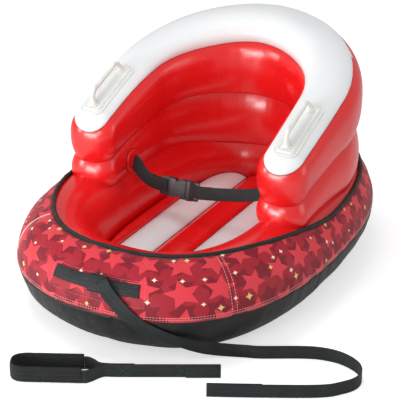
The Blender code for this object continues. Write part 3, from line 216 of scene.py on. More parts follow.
# Padded grip of the loose strap
GRIP_PLACE = (0.0275, -0.5140)
GRIP_HEADING = math.radians(206.5)
GRIP_LENGTH = 0.134
GRIP_WIDTH = 0.050
GRIP_END = 0.032
GRIP_THICK = 0.0060
GRIP_HEIGHT = 0.034

UP = np.array((0.0, 0.0, 1.0))


def unit(vector):
    vector = np.asarray(vector, float)
    return vector / np.maximum(np.linalg.norm(vector, axis=-1, keepdims=True), 1e-12)


# Camera at the photograph's angle, in radians and metres; lens and sensor in millimetres
CAMERA_TURN = 0.50615
CAMERA_RISE = 0.4468
CAMERA_DISTANCE = 3.7285
CAMERA_LENS = 159.2
CAMERA_SENSOR = 36.0
CAMERA_ASIDE = 0.0067
CAMERA_BELOW = -0.1301


def view_axes(turn, rise):
    """Directions towards a viewer, to the viewer's right and up."""
    back = Vector((math.sin(turn) * math.cos(rise), -math.cos(turn) * math.cos(rise), math.sin(rise)))
    right = Vector((math.cos(turn), math.sin(turn), 0.0))
    return back, right, back.cross(right)


def add_camera():
    back, right, up = view_axes(CAMERA_TURN, CAMERA_RISE)
    data = bpy.data.cameras.new("camera")
    data.lens = CAMERA_LENS
    data.sensor_width = CAMERA_SENSOR
    data.clip_start = 0.1
    camera = bpy.data.objects.new("camera", data)
    bpy.context.scene.collection.objects.link(camera)
    camera.location = back * CAMERA_DISTANCE - right * CAMERA_ASIDE - up * CAMERA_BELOW
    camera.rotation_euler = back.to_track_quat("Z", "Y").to_euler()
    bpy.context.scene.camera = camera


add_camera()
bpy.context.scene.view_settings.view_transform = "Standard"


# Materials
def rgb(red, green, blue):
    def linear(value):
        value /= 255
        return value / 12.92 if value <= 0.04045 else ((value + 0.055) / 1.055) ** 2.4

    return (linear(red), linear(green), linear(blue), 1.0)


def shaded(colour, factor, added=0.0):
    return (*(min(factor * value + added, 1.0) for value in colour[:3]), 1.0)


class Shader:
    """A node material with short ways to add the nodes it needs; settings name the surface's sockets."""

    def __init__(self, name, roughness, **settings):
        self.material = bpy.data.materials.new(name)
        self.material.use_nodes = True
        self.tree = self.material.node_tree
        self.surface = self.tree.nodes["Principled BSDF"]
        self.put(self.surface, "Roughness", roughness)
        for label, value in settings.items():
            self.put(self.surface, label.replace("_", " "), value)
        self.places = self.node("TexCoord", output="Object")

    def put(self, node, socket, value):
        target = node.inputs[socket]
        if isinstance(value, bpy.types.NodeSocket):
            self.tree.links.new(value, target)
        elif value is not None:
            target.default_value = value

    def node(self, kind, sockets=None, output=0, **properties):
        made = self.tree.nodes.new("ShaderNode" + kind)
        for label, value in properties.items():
            setattr(made, label, value)
        for socket, value in (sockets or {}).items():
            self.put(made, socket, value)
        return made.outputs[output]

    def math(self, operation, *values):
        return self.node("Math", dict(enumerate(values)), operation=operation)

    def times(self, first, second):
        return self.math("MULTIPLY", first, second)

    def plus(self, first, second):
        return self.math("ADD", first, second)

    def vector(self, operation, *values, output=0):
        return self.node("VectorMath", dict(enumerate(values)), output, operation=operation)

    def split(self, value):
        made = self.tree.nodes.new("ShaderNodeSeparateXYZ")
        self.put(made, 0, value)
        return tuple(made.outputs)

    def own_map(self):
        """Places from the piece's own map, in metres along and across it."""
        return self.node("UVMap", uv_map="metres")

    def noise(self, scale, detail=2.0, rough=0.5, distortion=0.0):
        sockets = {"Scale": scale, "Detail": detail, "Roughness": rough, "Distortion": distortion}
        return self.node("TexNoise", {"Vector": self.places, **sockets})

    def spread(self, value, low, high, start=0.0, end=1.0):
        sockets = {"Value": value, "From Min": low, "From Max": high, "To Min": start, "To Max": end}
        return self.node("MapRange", sockets)

    def mix(self, share, first, second):
        made = self.tree.nodes.new("ShaderNodeMix")
        made.data_type = "RGBA"
        for socket, value in ((0, share), (6, first), (7, second)):
            self.put(made, socket, value)
        return made.outputs[2]

    def colour(self, value):
        self.put(self.surface, "Base Color", value)

    def rough(self, value):
        self.put(self.surface, "Roughness", value)

    def bump(self, *layers):
        """Heights and what they stand for in metres, one bump on the next."""
        normal = None
        for height, distance in layers:
            sockets = {"Height": height, "Distance": distance, "Strength": 1.0, "Normal": normal}
            normal = self.node("Bump", sockets)
        self.put(self.surface, "Normal", normal)


def vinyl(name, colour, deep, roughness, level):
    s = Shader(name, roughness, IOR=1.5, Specular_IOR_Level=level)
    s.colour(s.mix(s.spread(s.noise(7.0, 3.0), 0.35, 0.75), colour, deep))
    smudge = s.noise(38.0, 4.0, 0.62, 0.6)
    scuff = s.noise(21.0, 9.0, 0.72, 2.2)
    worn = s.times(s.spread(scuff, 0.60, 0.72), 0.035)
    s.rough(s.plus(s.spread(smudge, 0.3, 0.7, roughness - 0.03, roughness + 0.04), worn))
    ripple = s.noise(17.0, 1.0, 0.4, 0.3)
    grain = s.noise(1500.0, 2.0)
    s.bump((ripple, 0.0006), (grain, 0.000006))
    return s.material


def in_cells(s, places, cell, offset, seed, shift):
    """Places round a spot near the middle of each cell, and the cell's three random numbers."""
    scaled = s.vector("ADD", s.vector("MULTIPLY", places, (1 / cell, 1 / cell, 0.0)), (*offset, 0.0))
    number = s.vector("ADD", s.vector("FLOOR", scaled), (0.5, 0.5, seed))
    chance = s.node("TexWhiteNoise", {"Vector": number}, output="Color")
    local = s.vector("SUBTRACT", s.vector("FRACTION", scaled), (0.5, 0.5, 0.0))
    moved = s.vector("MULTIPLY", s.vector("SUBTRACT", chance, (0.5, 0.5, 0.5)), (shift, shift, 0.0))
    return s.vector("SUBTRACT", local, moved), s.split(chance)


def star_mask(s, places, cell, offset, seed, radius, inner):
    """One inside a turned five-pointed star, one star in each cell; inner places its valleys."""
    local, (size_chance, _, turn_chance) = in_cells(s, places, cell, offset, seed, 0.14)
    x, y, _ = s.split(local)
    turn = s.times(turn_chance, 2 * math.pi)
    fold = s.math("PINGPONG", s.plus(s.math("ARCTAN2", y, x), turn), math.pi / 5)
    valley = (inner * math.cos(math.pi / 5), inner * math.sin(math.pi / 5))
    normal = unit((valley[1], 1 - valley[0])).tolist()
    slant = s.plus(s.times(s.math("COSINE", fold), normal[0]), s.times(s.math("SINE", fold), normal[1]))
    reach = s.times(s.vector("LENGTH", local, output="Value"), slant)
    size = s.spread(size_chance, 0.0, 1.0, 0.84 * radius / cell, radius / cell)
    return s.math("LESS_THAN", s.math("DIVIDE", reach, s.times(size, normal[0])), 1.0)


def sparkle_mask(s, places, cell, offset, seed, radius, share):
    """One inside a four-pointed sparkle, in a share of the cells."""
    local, (_, size_chance, chance) = in_cells(s, places, cell, offset, seed, 0.5)
    x, y, _ = s.split(s.vector("ABSOLUTE", local))
    arms = s.plus(s.math("POWER", x, SPARKLE_POWER), s.math("POWER", y, SPARKLE_POWER))
    size = s.spread(size_chance, 0.0, 1.0, 0.6 * radius / cell, radius / cell)
    inside = s.math("LESS_THAN", arms, s.math("POWER", size, SPARKLE_POWER))
    return s.times(inside, s.math("LESS_THAN", chance, share))


def weave_height(s, along, across, pitch):
    """Over and under of a plain weave."""
    warp, weft = (s.math("SINE", s.times(way, 2 * math.pi / pitch)) for way in (along, across))
    return s.math("MULTIPLY_ADD", s.times(warp, weft), 0.5, 0.5)


# Print: mask, cell, offset, seed, radius, a star's valley or the share with a sparkle, colour
SPARKLE_POWER = 0.62
PRINT_LAYERS = (
    (star_mask, 0.047, (0.31, 0.12), 3.0, 0.0250, 0.56, rgb(134, 24, 40)),
    (star_mask, 0.060, (0.07, 0.58), 11.0, 0.0300, 0.47, rgb(228, 62, 74)),
    (sparkle_mask, 0.043, (0.2, 0.7), 5.0, 0.0066, 0.46, rgb(252, 236, 210)),
    (sparkle_mask, 0.052, (0.6, 0.1), 17.0, 0.0090, 0.30, rgb(240, 204, 128)),
)


def print_fabric():
    s = Shader("print_fabric", 0.6, Specular_IOR_Level=0.35, Sheen_Weight=0.12, Sheen_Roughness=0.4)
    places = s.own_map()
    along, across, _ = s.split(places)
    colour = s.mix(s.noise(22.0, 3.0), rgb(174, 36, 52), rgb(162, 31, 47))
    for mask, *layout, paint in PRINT_LAYERS:
        colour = s.mix(mask(s, places, *layout), colour, paint)
    weave = weave_height(s, along, across, 0.0009)
    s.colour(s.mix(s.times(weave, 0.10), colour, rgb(90, 10, 22)))
    s.rough(s.spread(s.noise(60.0, 3.0), 0.3, 0.7, 0.52, 0.68))
    folds = s.noise(26.0, 3.0, 0.5, 0.8)
    s.bump((folds, 0.0018), (weave, 0.00006))
    return s.material


def coated_nylon():
    """Black cloth with fine ripstop lines."""
    s = Shader("black_fabric", 0.36, Specular_IOR_Level=0.36)
    along, across, _ = s.split(s.own_map())
    s.colour(s.mix(s.noise(11.0, 4.0), rgb(24, 23, 23), rgb(36, 35, 34)))
    shares = (s.math("FRACT", s.times(way, 200.0)) for way in (along, across))
    ripstop = s.math("MAXIMUM", *(s.math("LESS_THAN", share, 0.09) for share in shares))
    s.rough(s.spread(s.noise(48.0, 5.0, 0.6), 0.3, 0.7, 0.28, 0.42))
    folds = s.noise(19.0, 4.0, 0.55, 1.1)
    s.bump((folds, 0.0030), (ripstop, 0.00005), (weave_height(s, along, across, 0.0007), 0.00004))
    return s.material


def webbing(name, colour, dark, pitch, column):
    """Ribs laid as chevrons across the strap, with painted shade between the ribs, paler where they rub."""
    s = Shader(name, 0.55, Specular_IOR_Level=0.30, Sheen_Weight=0.04, Sheen_Roughness=0.45)
    along, across, _ = s.split(s.own_map())
    slant = s.math("PINGPONG", s.plus(across, 0.05), column)
    phase = s.math("DIVIDE", s.plus(along, s.times(slant, 0.9)), pitch)
    rib = s.math("ABSOLUTE", s.math("SINE", s.times(phase, math.pi)))
    cord = s.math("ABSOLUTE", s.math("SINE", s.times(across, math.pi / column)))
    height = s.math("MULTIPLY_ADD", cord, 0.5, s.times(rib, 0.5))
    rub = s.times(s.spread(s.noise(30.0, 5.0, 0.65), 0.45, 0.75), 0.35)
    # Between the ribs the colour goes to the dark one, painted shade in the valleys; the paler rubbed colour
    # is wear
    s.colour(s.mix(rub, s.mix(height, dark, colour), shaded(colour, 1.5, 0.01)))
    s.rough(s.spread(height, 0.0, 1.0, 0.66, 0.46))
    s.bump((s.noise(70.0, 2.0), 0.0005), (height, 0.00045))
    return s.material


def moulded(name, colour, wear, roughness):
    """Plastic with a fine grain, rubbed on its edges."""
    s = Shader(name, roughness, IOR=1.5, Specular_IOR_Level=0.5)
    edges = s.spread(s.node("NewGeometry", output="Pointiness"), 0.52, 0.60)
    rubbed = s.times(edges, s.spread(s.noise(120.0, 4.0, 0.7), 0.35, 0.7))
    body = s.mix(s.spread(s.noise(25.0, 3.0), 0.3, 0.7), colour, shaded(colour, 0.90))
    s.colour(s.mix(s.times(rubbed, 0.6), body, wear))
    s.rough(s.spread(s.noise(70.0, 4.0, 0.6), 0.3, 0.7, roughness - 0.06, roughness + 0.09))
    s.bump((s.noise(14.0, 2.0), 0.0004), (s.noise(2600.0, 2.0), 0.00003))
    return s.material


def sewing_thread(name, colour, dark):
    s = Shader(name, 0.5, Sheen_Weight=0.2, Sheen_Roughness=0.4)
    strands = s.noise(900.0, 2.0, 0.5, 1.5)
    s.colour(s.mix(s.spread(strands, 0.35, 0.65), colour, dark))
    s.bump((strands, 0.0001))
    return s.material


# The red vinyl's colour is its own red with a little more green and blue, partly a painted sheen for the
# whitish reflection on the vinyl
RED = vinyl("red_vinyl", rgb(237, 24, 27), rgb(227, 19, 23), 0.24, 0.85)
# Dark red for the weld lines, painted shade for the thin dark lines along the welds' grooves and the floor's
# valleys
WELD_SHADE_RED = vinyl("weld_shade_red", rgb(158, 10, 16), rgb(130, 7, 12), 0.35, 0.3)
WHITE = vinyl("white_vinyl", rgb(240, 241, 242), rgb(230, 232, 234), 0.33, 0.45)
# The floor's white is tinted cool, painted against the red light that the vinyl round it bounces onto it
FLOOR_WHITE = vinyl("floor_white_vinyl", rgb(232, 246, 247), rgb(224, 239, 240), 0.33, 0.45)
PRINT = print_fabric()
NYLON = coated_nylon()
# Each webbing's second colour is painted shade for the valleys between its ribs
TAPE = webbing("binding_tape", rgb(34, 50, 48), rgb(14, 24, 23), 0.0012, 0.0044)
WEBBING = webbing("black_webbing", rgb(38, 43, 44), rgb(4, 6, 7), 0.0032, 0.0046)
ACETAL = moulded("buckle_plastic", rgb(40, 43, 45), rgb(76, 78, 79), 0.38)
HANDLE = moulded("handle_plastic", rgb(240, 241, 237), rgb(247, 247, 244), 0.34)
VALVE = moulded("valve_plastic", rgb(226, 228, 230), rgb(240, 240, 240), 0.34)
# The sleeve's second colour is painted shade between its ribs as well
SLEEVE = webbing("padded_sleeve", rgb(30, 32, 33), rgb(14, 15, 16), 0.0011, 0.0011)
PALE_THREAD = sewing_thread("pale_thread", rgb(240, 206, 206), rgb(205, 150, 152))
PINK_THREAD = sewing_thread("pink_thread", rgb(236, 130, 140), rgb(196, 84, 96))
GREY_THREAD = sewing_thread("grey_thread", rgb(72, 80, 82), rgb(44, 50, 52))


# Lines of points
SPLINE_STEPS = 12


def lengths(points):
    """Distance run along a line of points."""
    steps = np.linalg.norm(np.diff(points, axis=0), axis=1)
    return np.concatenate([[0.0], np.cumsum(steps)])


def read_rows(at, run, rows):
    """Rows given at the places in run, read at other places."""
    return np.stack([np.interp(at, run, column) for column in np.asarray(rows).T], -1)


def resample(points, spacing, sides=None):
    """Evenly spaced places on a smooth curve through points, with their side vectors."""
    points = np.asarray(points, float)
    ends = np.vstack([2 * points[0] - points[1], points, 2 * points[-1] - points[-2]])
    t = (np.arange(SPLINE_STEPS) / SPLINE_STEPS)[:, None]
    dense = []
    for a, b, c, d in zip(ends, ends[1:], ends[2:], ends[3:]):
        cubed = b * 3 - a - c * 3 + d
        squared = a * 2 - b * 5 + c * 4 - d
        dense.append((cubed * t ** 3 + squared * t ** 2 + (c - a) * t + b * 2) / 2)
    dense = np.vstack(dense + [points[-1:]])
    run = lengths(dense)
    count = max(int(round(run[-1] / spacing)), 2)
    at = np.linspace(0, run[-1], count + 1)
    spots = read_rows(at, run, dense)
    if sides is None:
        return spots
    where = np.interp(at, run, np.arange(len(dense)) / SPLINE_STEPS)
    return spots, unit(read_rows(where, np.arange(len(sides)), sides))


def thin(points, spacing, closed=False):
    """The same line with evenly spaced points."""
    if closed:
        points = np.vstack([points, points[:1]])
    run = lengths(points)
    count = max(int(run[-1] / spacing), 3)
    spots = read_rows(np.linspace(0, run[-1], count + 1), run, points)
    return spots[:-1] if closed else spots


def headings(points):
    return unit(np.gradient(points, axis=0))


def smoothstep(value, start, end):
    share = np.clip((np.asarray(value, float) - start) / (end - start), 0.0, 1.0)
    return share * share * (3 - 2 * share)


def bell(value, width):
    """One at nought, falling away smoothly on both sides."""
    return np.exp(-((value / width) ** 2))


def superellipse(angle, half_x, half_y, power):
    c, s = np.cos(angle), np.sin(angle)
    return half_x * np.sign(c) * np.abs(c) ** (2 / power), half_y * np.sign(s) * np.abs(s) ** (2 / power)


def folds_along(length, spacing, seed, width=(0.12, 0.26)):
    """Uneven narrow folds along a weld, read by distance along it; width is in shares of the spacing."""
    rng = np.random.default_rng(seed)
    count = int(length / spacing)
    centres = (np.arange(count) + rng.uniform(-0.36, 0.36, count)) * length / count
    strengths = rng.uniform(0.25, 1.0, count)
    widths = rng.uniform(*width, count) * spacing

    def read(place):
        away = (np.asarray(place, float)[..., None] - centres + length / 2) % length - length / 2
        return (strengths * bell(away, widths)).sum(-1)

    return read


# Meshes from grids of points
def add_piece(name, points, faces, material, body="sled", maps=None, closed=False, merge=0.0, replaces=()):
    """A mesh object riding on a body; maps gives the corners' places in metres, face by face."""
    mesh = bpy.data.meshes.new(name)
    mesh.from_pydata(np.asarray(points, float).tolist(), [], faces)
    mesh.polygons.foreach_set("use_smooth", [True] * len(mesh.polygons))
    if maps is not None:
        layer = mesh.uv_layers.new(name="metres")
        layer.data.foreach_set("uv", np.asarray(maps, np.float32).ravel())
    if closed:
        bm = bmesh.new()
        bm.from_mesh(mesh)
        if merge:
            bmesh.ops.remove_doubles(bm, verts=bm.verts, dist=merge)
            bmesh.ops.dissolve_degenerate(bm, edges=bm.edges, dist=merge)
        bmesh.ops.recalc_face_normals(bm, faces=bm.faces)
        bm.to_mesh(mesh)
        bm.free()
    mesh.materials.append(material)
    piece = bpy.data.objects.new(name, mesh)
    bpy.context.scene.collection.objects.link(piece)
    if body:
        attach(piece, body)
    if replaces:
        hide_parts(*replaces)
    return piece


def add_grid(name, points, material, loop_rows=False, loop_columns=False, spots=None, caps=False, **more):
    """A grid of points as a skin; spots is the same grid, one longer each way where it loops, in metres."""
    points = np.asarray(points, float)
    rows, columns = points.shape[:2]
    i, j = np.indices((rows - (not loop_rows), columns - (not loop_columns))).reshape(2, -1)
    k, n = (i + 1) % rows, (j + 1) % columns
    faces = np.stack([i * columns + j, k * columns + j, k * columns + n, i * columns + n], -1).tolist()
    maps = None
    if spots is not None:
        corners = (spots[i, j], spots[i + 1, j], spots[i + 1, j + 1], spots[i, j + 1])
        maps = np.stack(corners, 1).reshape(-1, 2)
    if caps:
        faces.append(list(range(columns - 1, -1, -1)))
        faces.append(list(range((rows - 1) * columns, rows * columns)))
        if maps is not None:
            maps = np.vstack([maps, spots[0, columns - 1::-1], spots[rows - 1, :columns]])
    more.setdefault("closed", caps or (loop_rows and loop_columns))
    return add_piece(name, points.reshape(-1, 3), faces, material, maps=maps, **more)


def paired(along, across):
    return np.stack(np.broadcast_arrays(along, across), -1)


def map_grid(run, marks):
    """Map places: the distance along by the distance across, round to the first mark again."""
    return paired(run[:, None], np.append(marks, marks[0])[None])


def strap_profile(width, thick):
    """Outline of flat webbing with rounded, slightly thinner edges."""
    across = np.array((-1, -0.985, -0.94, -0.82, -0.4, 0.0, 0.4, 0.82, 0.94, 0.985, 1)) * width / 2
    rise = np.array((0, 0.55, 0.86, 1, 0.96, 0.94, 0.96, 1, 0.86, 0.55, 0)) * thick / 2
    return both_faces(across, rise)


def both_faces(across, rise):
    """A closed outline from the rise of its front; the back mirrors it."""
    front = np.stack([across, rise], -1)
    return np.vstack([front, (front * (1, -1))[-2:0:-1]])


def add_ribbon(name, points, sides, width, thick, material, spacing=0.003, **more):
    """Webbing along points; sides are the directions of its width."""
    spots, across = resample(points, spacing, np.broadcast_to(sides, np.shape(points)))
    along = headings(spots)
    across = unit(across - along * (across * along).sum(-1, keepdims=True))
    face = np.cross(along, across)
    outline = strap_profile(width, thick)
    grid = spots[:, None] + across[:, None] * outline[None, :, :1] + face[:, None] * outline[None, :, 1:]
    maps = map_grid(lengths(spots), outline[:, 0])
    return add_grid(name, grid, material, loop_columns=True, spots=maps, caps=True, **more)


def add_tube(name, points, radii, material, sides=14, closed_run=False, up=UP, **more):
    """A round skin along points."""
    points = np.asarray(points, float)
    if closed_run:
        along = unit(np.roll(points, -1, 0) - np.roll(points, 1, 0))
    else:
        along = headings(points)
    side = unit(np.cross(along, np.broadcast_to(up, points.shape)))
    rise = np.cross(side, along)
    angles = 2 * np.pi * np.arange(sides) / sides
    radii = np.broadcast_to(radii, len(points))[:, None, None]
    c, s = np.cos(angles)[None, :, None], np.sin(angles)[None, :, None]
    grid = points[:, None] + radii * (side[:, None] * c + rise[:, None] * s)
    run = lengths(np.vstack([points, points[:1]])) if closed_run else lengths(points)
    marks = np.append(angles, 2 * np.pi) * float(np.mean(radii))
    maps = paired(run[:, None], marks[None])
    more["caps"] = not closed_run
    return add_grid(name, grid, material, loop_rows=closed_run, loop_columns=True, spots=maps, **more)


# Sewing: thread radius, stitch length and gap
COVER_STITCH = (0.00055, 0.0042, 0.0018)
OUTLINE_STITCH = (0.00055, 0.0040, 0.0014)
BINDING_STITCH = (0.0004, 0.0032, 0.0016)
LAP_STITCH = (0.0004, 0.0026, 0.0012)
GRIP_STITCH = (0.0004, 0.0030, 0.0014)
STRAP_STITCH = (0.00045, 0.0030, 0.0013)
STITCH_SIDES = 6
# Along a stitch: share of its length, height of its middle and size, both in thread radii
STITCH_SHARES = np.array((0.0, 0.18, 0.5, 0.82, 1.0))
STITCH_LIFTS = np.array((-0.7, 0.35, 0.6, 0.35, -0.7))
STITCH_SIZES = np.array((0.5, 0.95, 1.0, 0.95, 0.5))


class Stitches:
    """Rows of sewn thread, gathered into one piece."""

    def __init__(self, name, material, gauge, body="sled"):
        self.name, self.material, self.body = name, material, body
        self.radius, self.long, self.gap = gauge
        self.points, self.faces = [], []

    def row(self, points, normals):
        points = np.asarray(points, float)
        run = lengths(points)
        count = int(run[-1] / (self.long + self.gap))
        if count < 1:
            return
        at = np.arange(count)[:, None] * (run[-1] / count) + STITCH_SHARES[None] * self.long
        normal = unit(read_rows(at, run, np.broadcast_to(normals, points.shape)))
        along = unit(read_rows(at, run, headings(points)))
        side = unit(np.cross(along, normal))
        centre = read_rows(at, run, points) + normal * STITCH_LIFTS[None, :, None] * self.radius
        angles = 2 * np.pi * np.arange(STITCH_SIDES) / STITCH_SIDES
        ring = centre[:, :, None] + STITCH_SIZES[None, :, None, None] * self.radius * (
            side[:, :, None] * np.cos(angles)[:, None] + normal[:, :, None] * np.sin(angles)[:, None]
        )
        start = len(self.points)
        self.points.extend(ring.reshape(-1, 3).tolist())
        steps = len(STITCH_SHARES)
        for n in range(count):
            base = start + n * steps * STITCH_SIDES
            for i in range(steps - 1):
                for j in range(STITCH_SIDES):
                    a, b = base + i * STITCH_SIDES + j, base + i * STITCH_SIDES + (j + 1) % STITCH_SIDES
                    self.faces.append((a, b, b + STITCH_SIDES, a + STITCH_SIDES))
            last = base + (steps - 1) * STITCH_SIDES
            self.faces.append(tuple(range(base + STITCH_SIDES - 1, base - 1, -1)))
            self.faces.append(tuple(range(last, last + STITCH_SIDES)))

    def made(self):
        return add_piece(self.name, self.points, self.faces, self.material, body=self.body, closed=True)


def box_lines(first, last, count, diagonals=((0, 2), (1, 3))):
    """The sides of a rectangle between two corners, and its diagonals, as lines of count places."""
    corners = np.array((first, (last[0], first[1]), last, (first[0], last[1])))
    steps = np.linspace(0, 1, count)[:, None]
    pairs = [(k, (k + 1) % 4) for k in range(4)] + list(diagonals)
    return [corners[a] + (corners[b] - corners[a]) * steps for a, b in pairs]


# Plan curves of the ring and the backrest
PLAN_POINTS = 1440
# Share of a curve to each side over which its heading is read
HEADING_REACH = 0.006


class PlanPath:
    """A curve on the ground, read by its share of length, with its outward side."""

    def __init__(self, points, closed):
        points = np.asarray(points, float)
        self.points = np.vstack([points, points[:1]]) if closed else points
        self.closed = closed
        self.sums = lengths(self.points)
        self.length = self.sums[-1]

    def point(self, share):
        share = np.asarray(share, float)
        share = share % 1.0 if self.closed else np.clip(share, 0.0, 1.0)
        return read_rows(share * self.length, self.sums, self.points)

    def outward(self, share):
        share = np.asarray(share, float)
        along = unit(self.point(share + HEADING_REACH) - self.point(share - HEADING_REACH))
        return np.stack([along[..., 1], -along[..., 0], 0 * along[..., 0]], -1)

    def place(self, share, out, height):
        share, out, height = np.broadcast_arrays(share, out, height)
        spot = self.point(share) + self.outward(share) * out[..., None]
        spot[..., 2] = height
        return spot


def ring_path():
    angle = 2 * np.pi * np.arange(PLAN_POINTS) / PLAN_POINTS - np.pi / 2
    reach = np.where(np.sin(angle) < 0, RING_FRONT, RING_BACK)
    x, y = superellipse(angle, RING_HALF_WIDTH, reach, RING_SQUARENESS)
    return PlanPath(np.stack([x, y + (RING_FRONT - RING_BACK) / 2, 0 * x], -1), True)


def back_path():
    angle = 2 * np.pi * np.arange(PLAN_POINTS // 2 + 1) / PLAN_POINTS
    x, y = superellipse(angle, BACK_HALF_WIDTH, BACK_REAR - BACK_ARC_START, BACK_SQUARENESS)
    arc = np.stack([x, y + BACK_ARC_START, 0 * x], -1)
    ends = np.array(((BACK_HALF_WIDTH, BACK_FRONT, 0.0), (-BACK_HALF_WIDTH, BACK_FRONT, 0.0)))
    return PlanPath(np.vstack([ends[:1], arc, ends[1:]]), False)


RING = ring_path()
BACK = back_path()
SKIN_TOP = SKIN_THICK + GAP
TUBE_HALF_WIDTH = (TUBE_OUT + TUBE_IN) / 2
TUBE_CENTRE_OUT = (TUBE_OUT - TUBE_IN) / 2
TUBE_BOTTOM = COVER_THICK + GAP
TUBE_HALF_HEIGHT = (TUBE_TOP - TUBE_BOTTOM) / 2
TUBE_CENTRE_HEIGHT = (TUBE_TOP + TUBE_BOTTOM) / 2
COVER_OUT = COVER_THICK + GAP
SECTION_RADIUS = TUBE_HALF_HEIGHT + COVER_OUT
FLOOR_BOTTOM = TUBE_BOTTOM + COVER_THICK / 2 + GAP
# Where the floor's channels meet, from its middle
HALF = CENTRE_CHANNEL / 2
FAR = HALF + MIDDLE_CHANNEL


def ring_surface(share, angle, grow=0.0):
    """A point on the ring tube's skin; angle 0 faces out and 90 degrees up."""
    share, angle, grow = np.broadcast_arrays(share, angle, grow)
    power = np.where(np.sin(angle) >= 0, TUBE_SQUARENESS, UNDERSIDE_SQUARENESS)
    out, up = superellipse(angle, TUBE_HALF_WIDTH + grow, TUBE_HALF_HEIGHT + grow, power)
    return RING.place(share, TUBE_CENTRE_OUT + out, TUBE_CENTRE_HEIGHT + up)


def ring_normal(share, angle, grow=0.0):
    return unit(ring_surface(share, angle, np.asarray(grow) + 0.01) - ring_surface(share, angle, grow))


def edge_step(distance):
    """Section angle of a distance run up from the side seam."""
    return distance / TUBE_HALF_HEIGHT


# Inflated vinyl: depths of its folds, and how far in section angle they reach from a weld
RING_FOLD = 0.0008
FLOOR_WELD_FOLD = 0.0007
FLOOR_END_FOLD = 0.0009
BACK_WELD_FOLD = 0.0006
BACK_WELD_REACH = 0.30
BACK_SOFT_FOLD = 0.0007
SKIN_FOLD = 0.0003
# The ring's folds lie on its inner side, round this section angle
INNER_SIDE = math.radians(200)
INNER_REACH = 0.62


def base_ring():
    """The ring's tube, with small folds on its inner side where its plan bends."""
    rows, columns = 280, 72
    share = (np.arange(rows) / rows)[:, None]
    angle = (2 * np.pi * np.arange(columns) / columns)[None]
    folds = folds_along(RING.length, spacing=0.021, seed=4)(share * RING.length)
    inner = bell(angle - INNER_SIDE, INNER_REACH)
    bend = smoothstep(np.abs(np.sin(2 * np.pi * (share - 0.125) * 2)), 0.2, 0.9)
    grid = ring_surface(share, angle, -RING_FOLD * folds * inner * bend)
    add_grid("base_ring", grid, RED, True, True, replaces=("base_tube",))


def floor_channel(name, low_x, high_x, material, seed, side=0):
    """A crowned channel of the air floor between the walls of the ring; a side one follows the wall."""
    rows, columns = 70, 15
    across = np.linspace(-1, 1, columns)
    if side:
        start, stop = wall_crossings(side * (low_x + LEAST_SIDE_CHANNEL), 0)
    else:
        x = low_x + (high_x - low_x) * (across + 1) / 2
        walls = np.array([wall_crossings(v, 0) for v in x])
        start, stop = walls[columns // 2]
    span = stop - start
    folds = folds_along(0.5, spacing=0.017, seed=seed)
    rings = []
    for t in 0.5 - 0.5 * np.cos(np.pi * np.linspace(0.0, 1.0, rows)):
        if side:
            y = np.full(columns, start + span * t)
            low, high = wall_crossings(y[0], 1)
            outer = (high if side > 0 else -low) - GAP
            x = side * (low_x + (outer - low_x) * (across + 1) / 2)
        else:
            y = walls[:, 0] + (walls[:, 1] - walls[:, 0]) * t
        near = 1 - min(min(t, 1 - t) * span / FLOOR_END_LENGTH, 1.0)
        crown = FLOOR_TOP - FLOOR_VALLEY * np.abs(across) ** FLOOR_CROWN_POWER
        crown -= FLOOR_END_DROP * (1 - math.sqrt(1 - near * near * 0.98))
        weld = np.exp(-(1 - np.abs(across)) / 0.22)
        crown -= FLOOR_WELD_FOLD * weld * folds(t * span)
        crown -= FLOOR_END_FOLD * folds(across * 0.03 + 0.1) * near ** 2
        top = np.stack([x, y, crown], -1)
        rings.append(np.vstack([top, [(x[-1], y[-1], FLOOR_BOTTOM)], [(x[0], y[0], FLOOR_BOTTOM)]]))
    node = name.replace("air_", "")
    add_grid(name, np.array(rings), material, loop_columns=True, caps=True, replaces=(node,))


WALL = RING.place(np.arange(224) / 224, -(TUBE_IN + GAP), 0.0)


def wall_crossings(value, axis):
    """Where the ring's inner wall crosses x = value (axis 0) or y = value (axis 1)."""
    first, second = WALL, np.roll(WALL, -1, 0)
    a, b = first[:, axis] - value, second[:, axis] - value
    hit = (a * b <= 0) & (a != b)
    share = -a[hit] / (b[hit] - a[hit])
    found = first[hit, 1 - axis] + share * (second[hit, 1 - axis] - first[hit, 1 - axis])
    return found.min(), found.max()


def line_height(line, y):
    """Height of a joint line of the backrest."""
    reach = np.maximum(y - BACK_FRONT, 0.0)
    return line[0] + line[1] * reach + line[2] * reach * reach


def swell(y):
    """How far the backrest has widened, none at the arms and one at the rear."""
    return np.clip((y - BACK_FRONT) / (BACK_REAR - BACK_FRONT), 0.0, 1.0) ** BACK_SWELL


LOWER_PRESS = math.sin(CONTACT)
UPPER_PRESS = math.sin(CONTACT) ** (2 / UPPER_SQUARENESS)


def arm_width(upper, y):
    if upper:
        return UPPER_ARM_WIDTH + (UPPER_REAR_WIDTH - UPPER_ARM_WIDTH) * swell(y)
    return LOWER_ARM_WIDTH + (LOWER_REAR_WIDTH - LOWER_ARM_WIDTH) * swell(y)


def upper_heights(y):
    """Height of the upper tube's widest place, and how far its section rises above that."""
    top = line_height(TOP_LINE, y)
    rise = (top - line_height(MIDDLE_LINE, y) - GAP / 2) * (1 - UPPER_BELOW_SHARE)
    return top - rise, rise


def lower_heights(y):
    top = line_height(MIDDLE_LINE, y) - GAP / 2
    bottom = line_height(BOTTOM_LINE, y)
    return (top + bottom) / 2, (top - bottom) / 2 / LOWER_PRESS


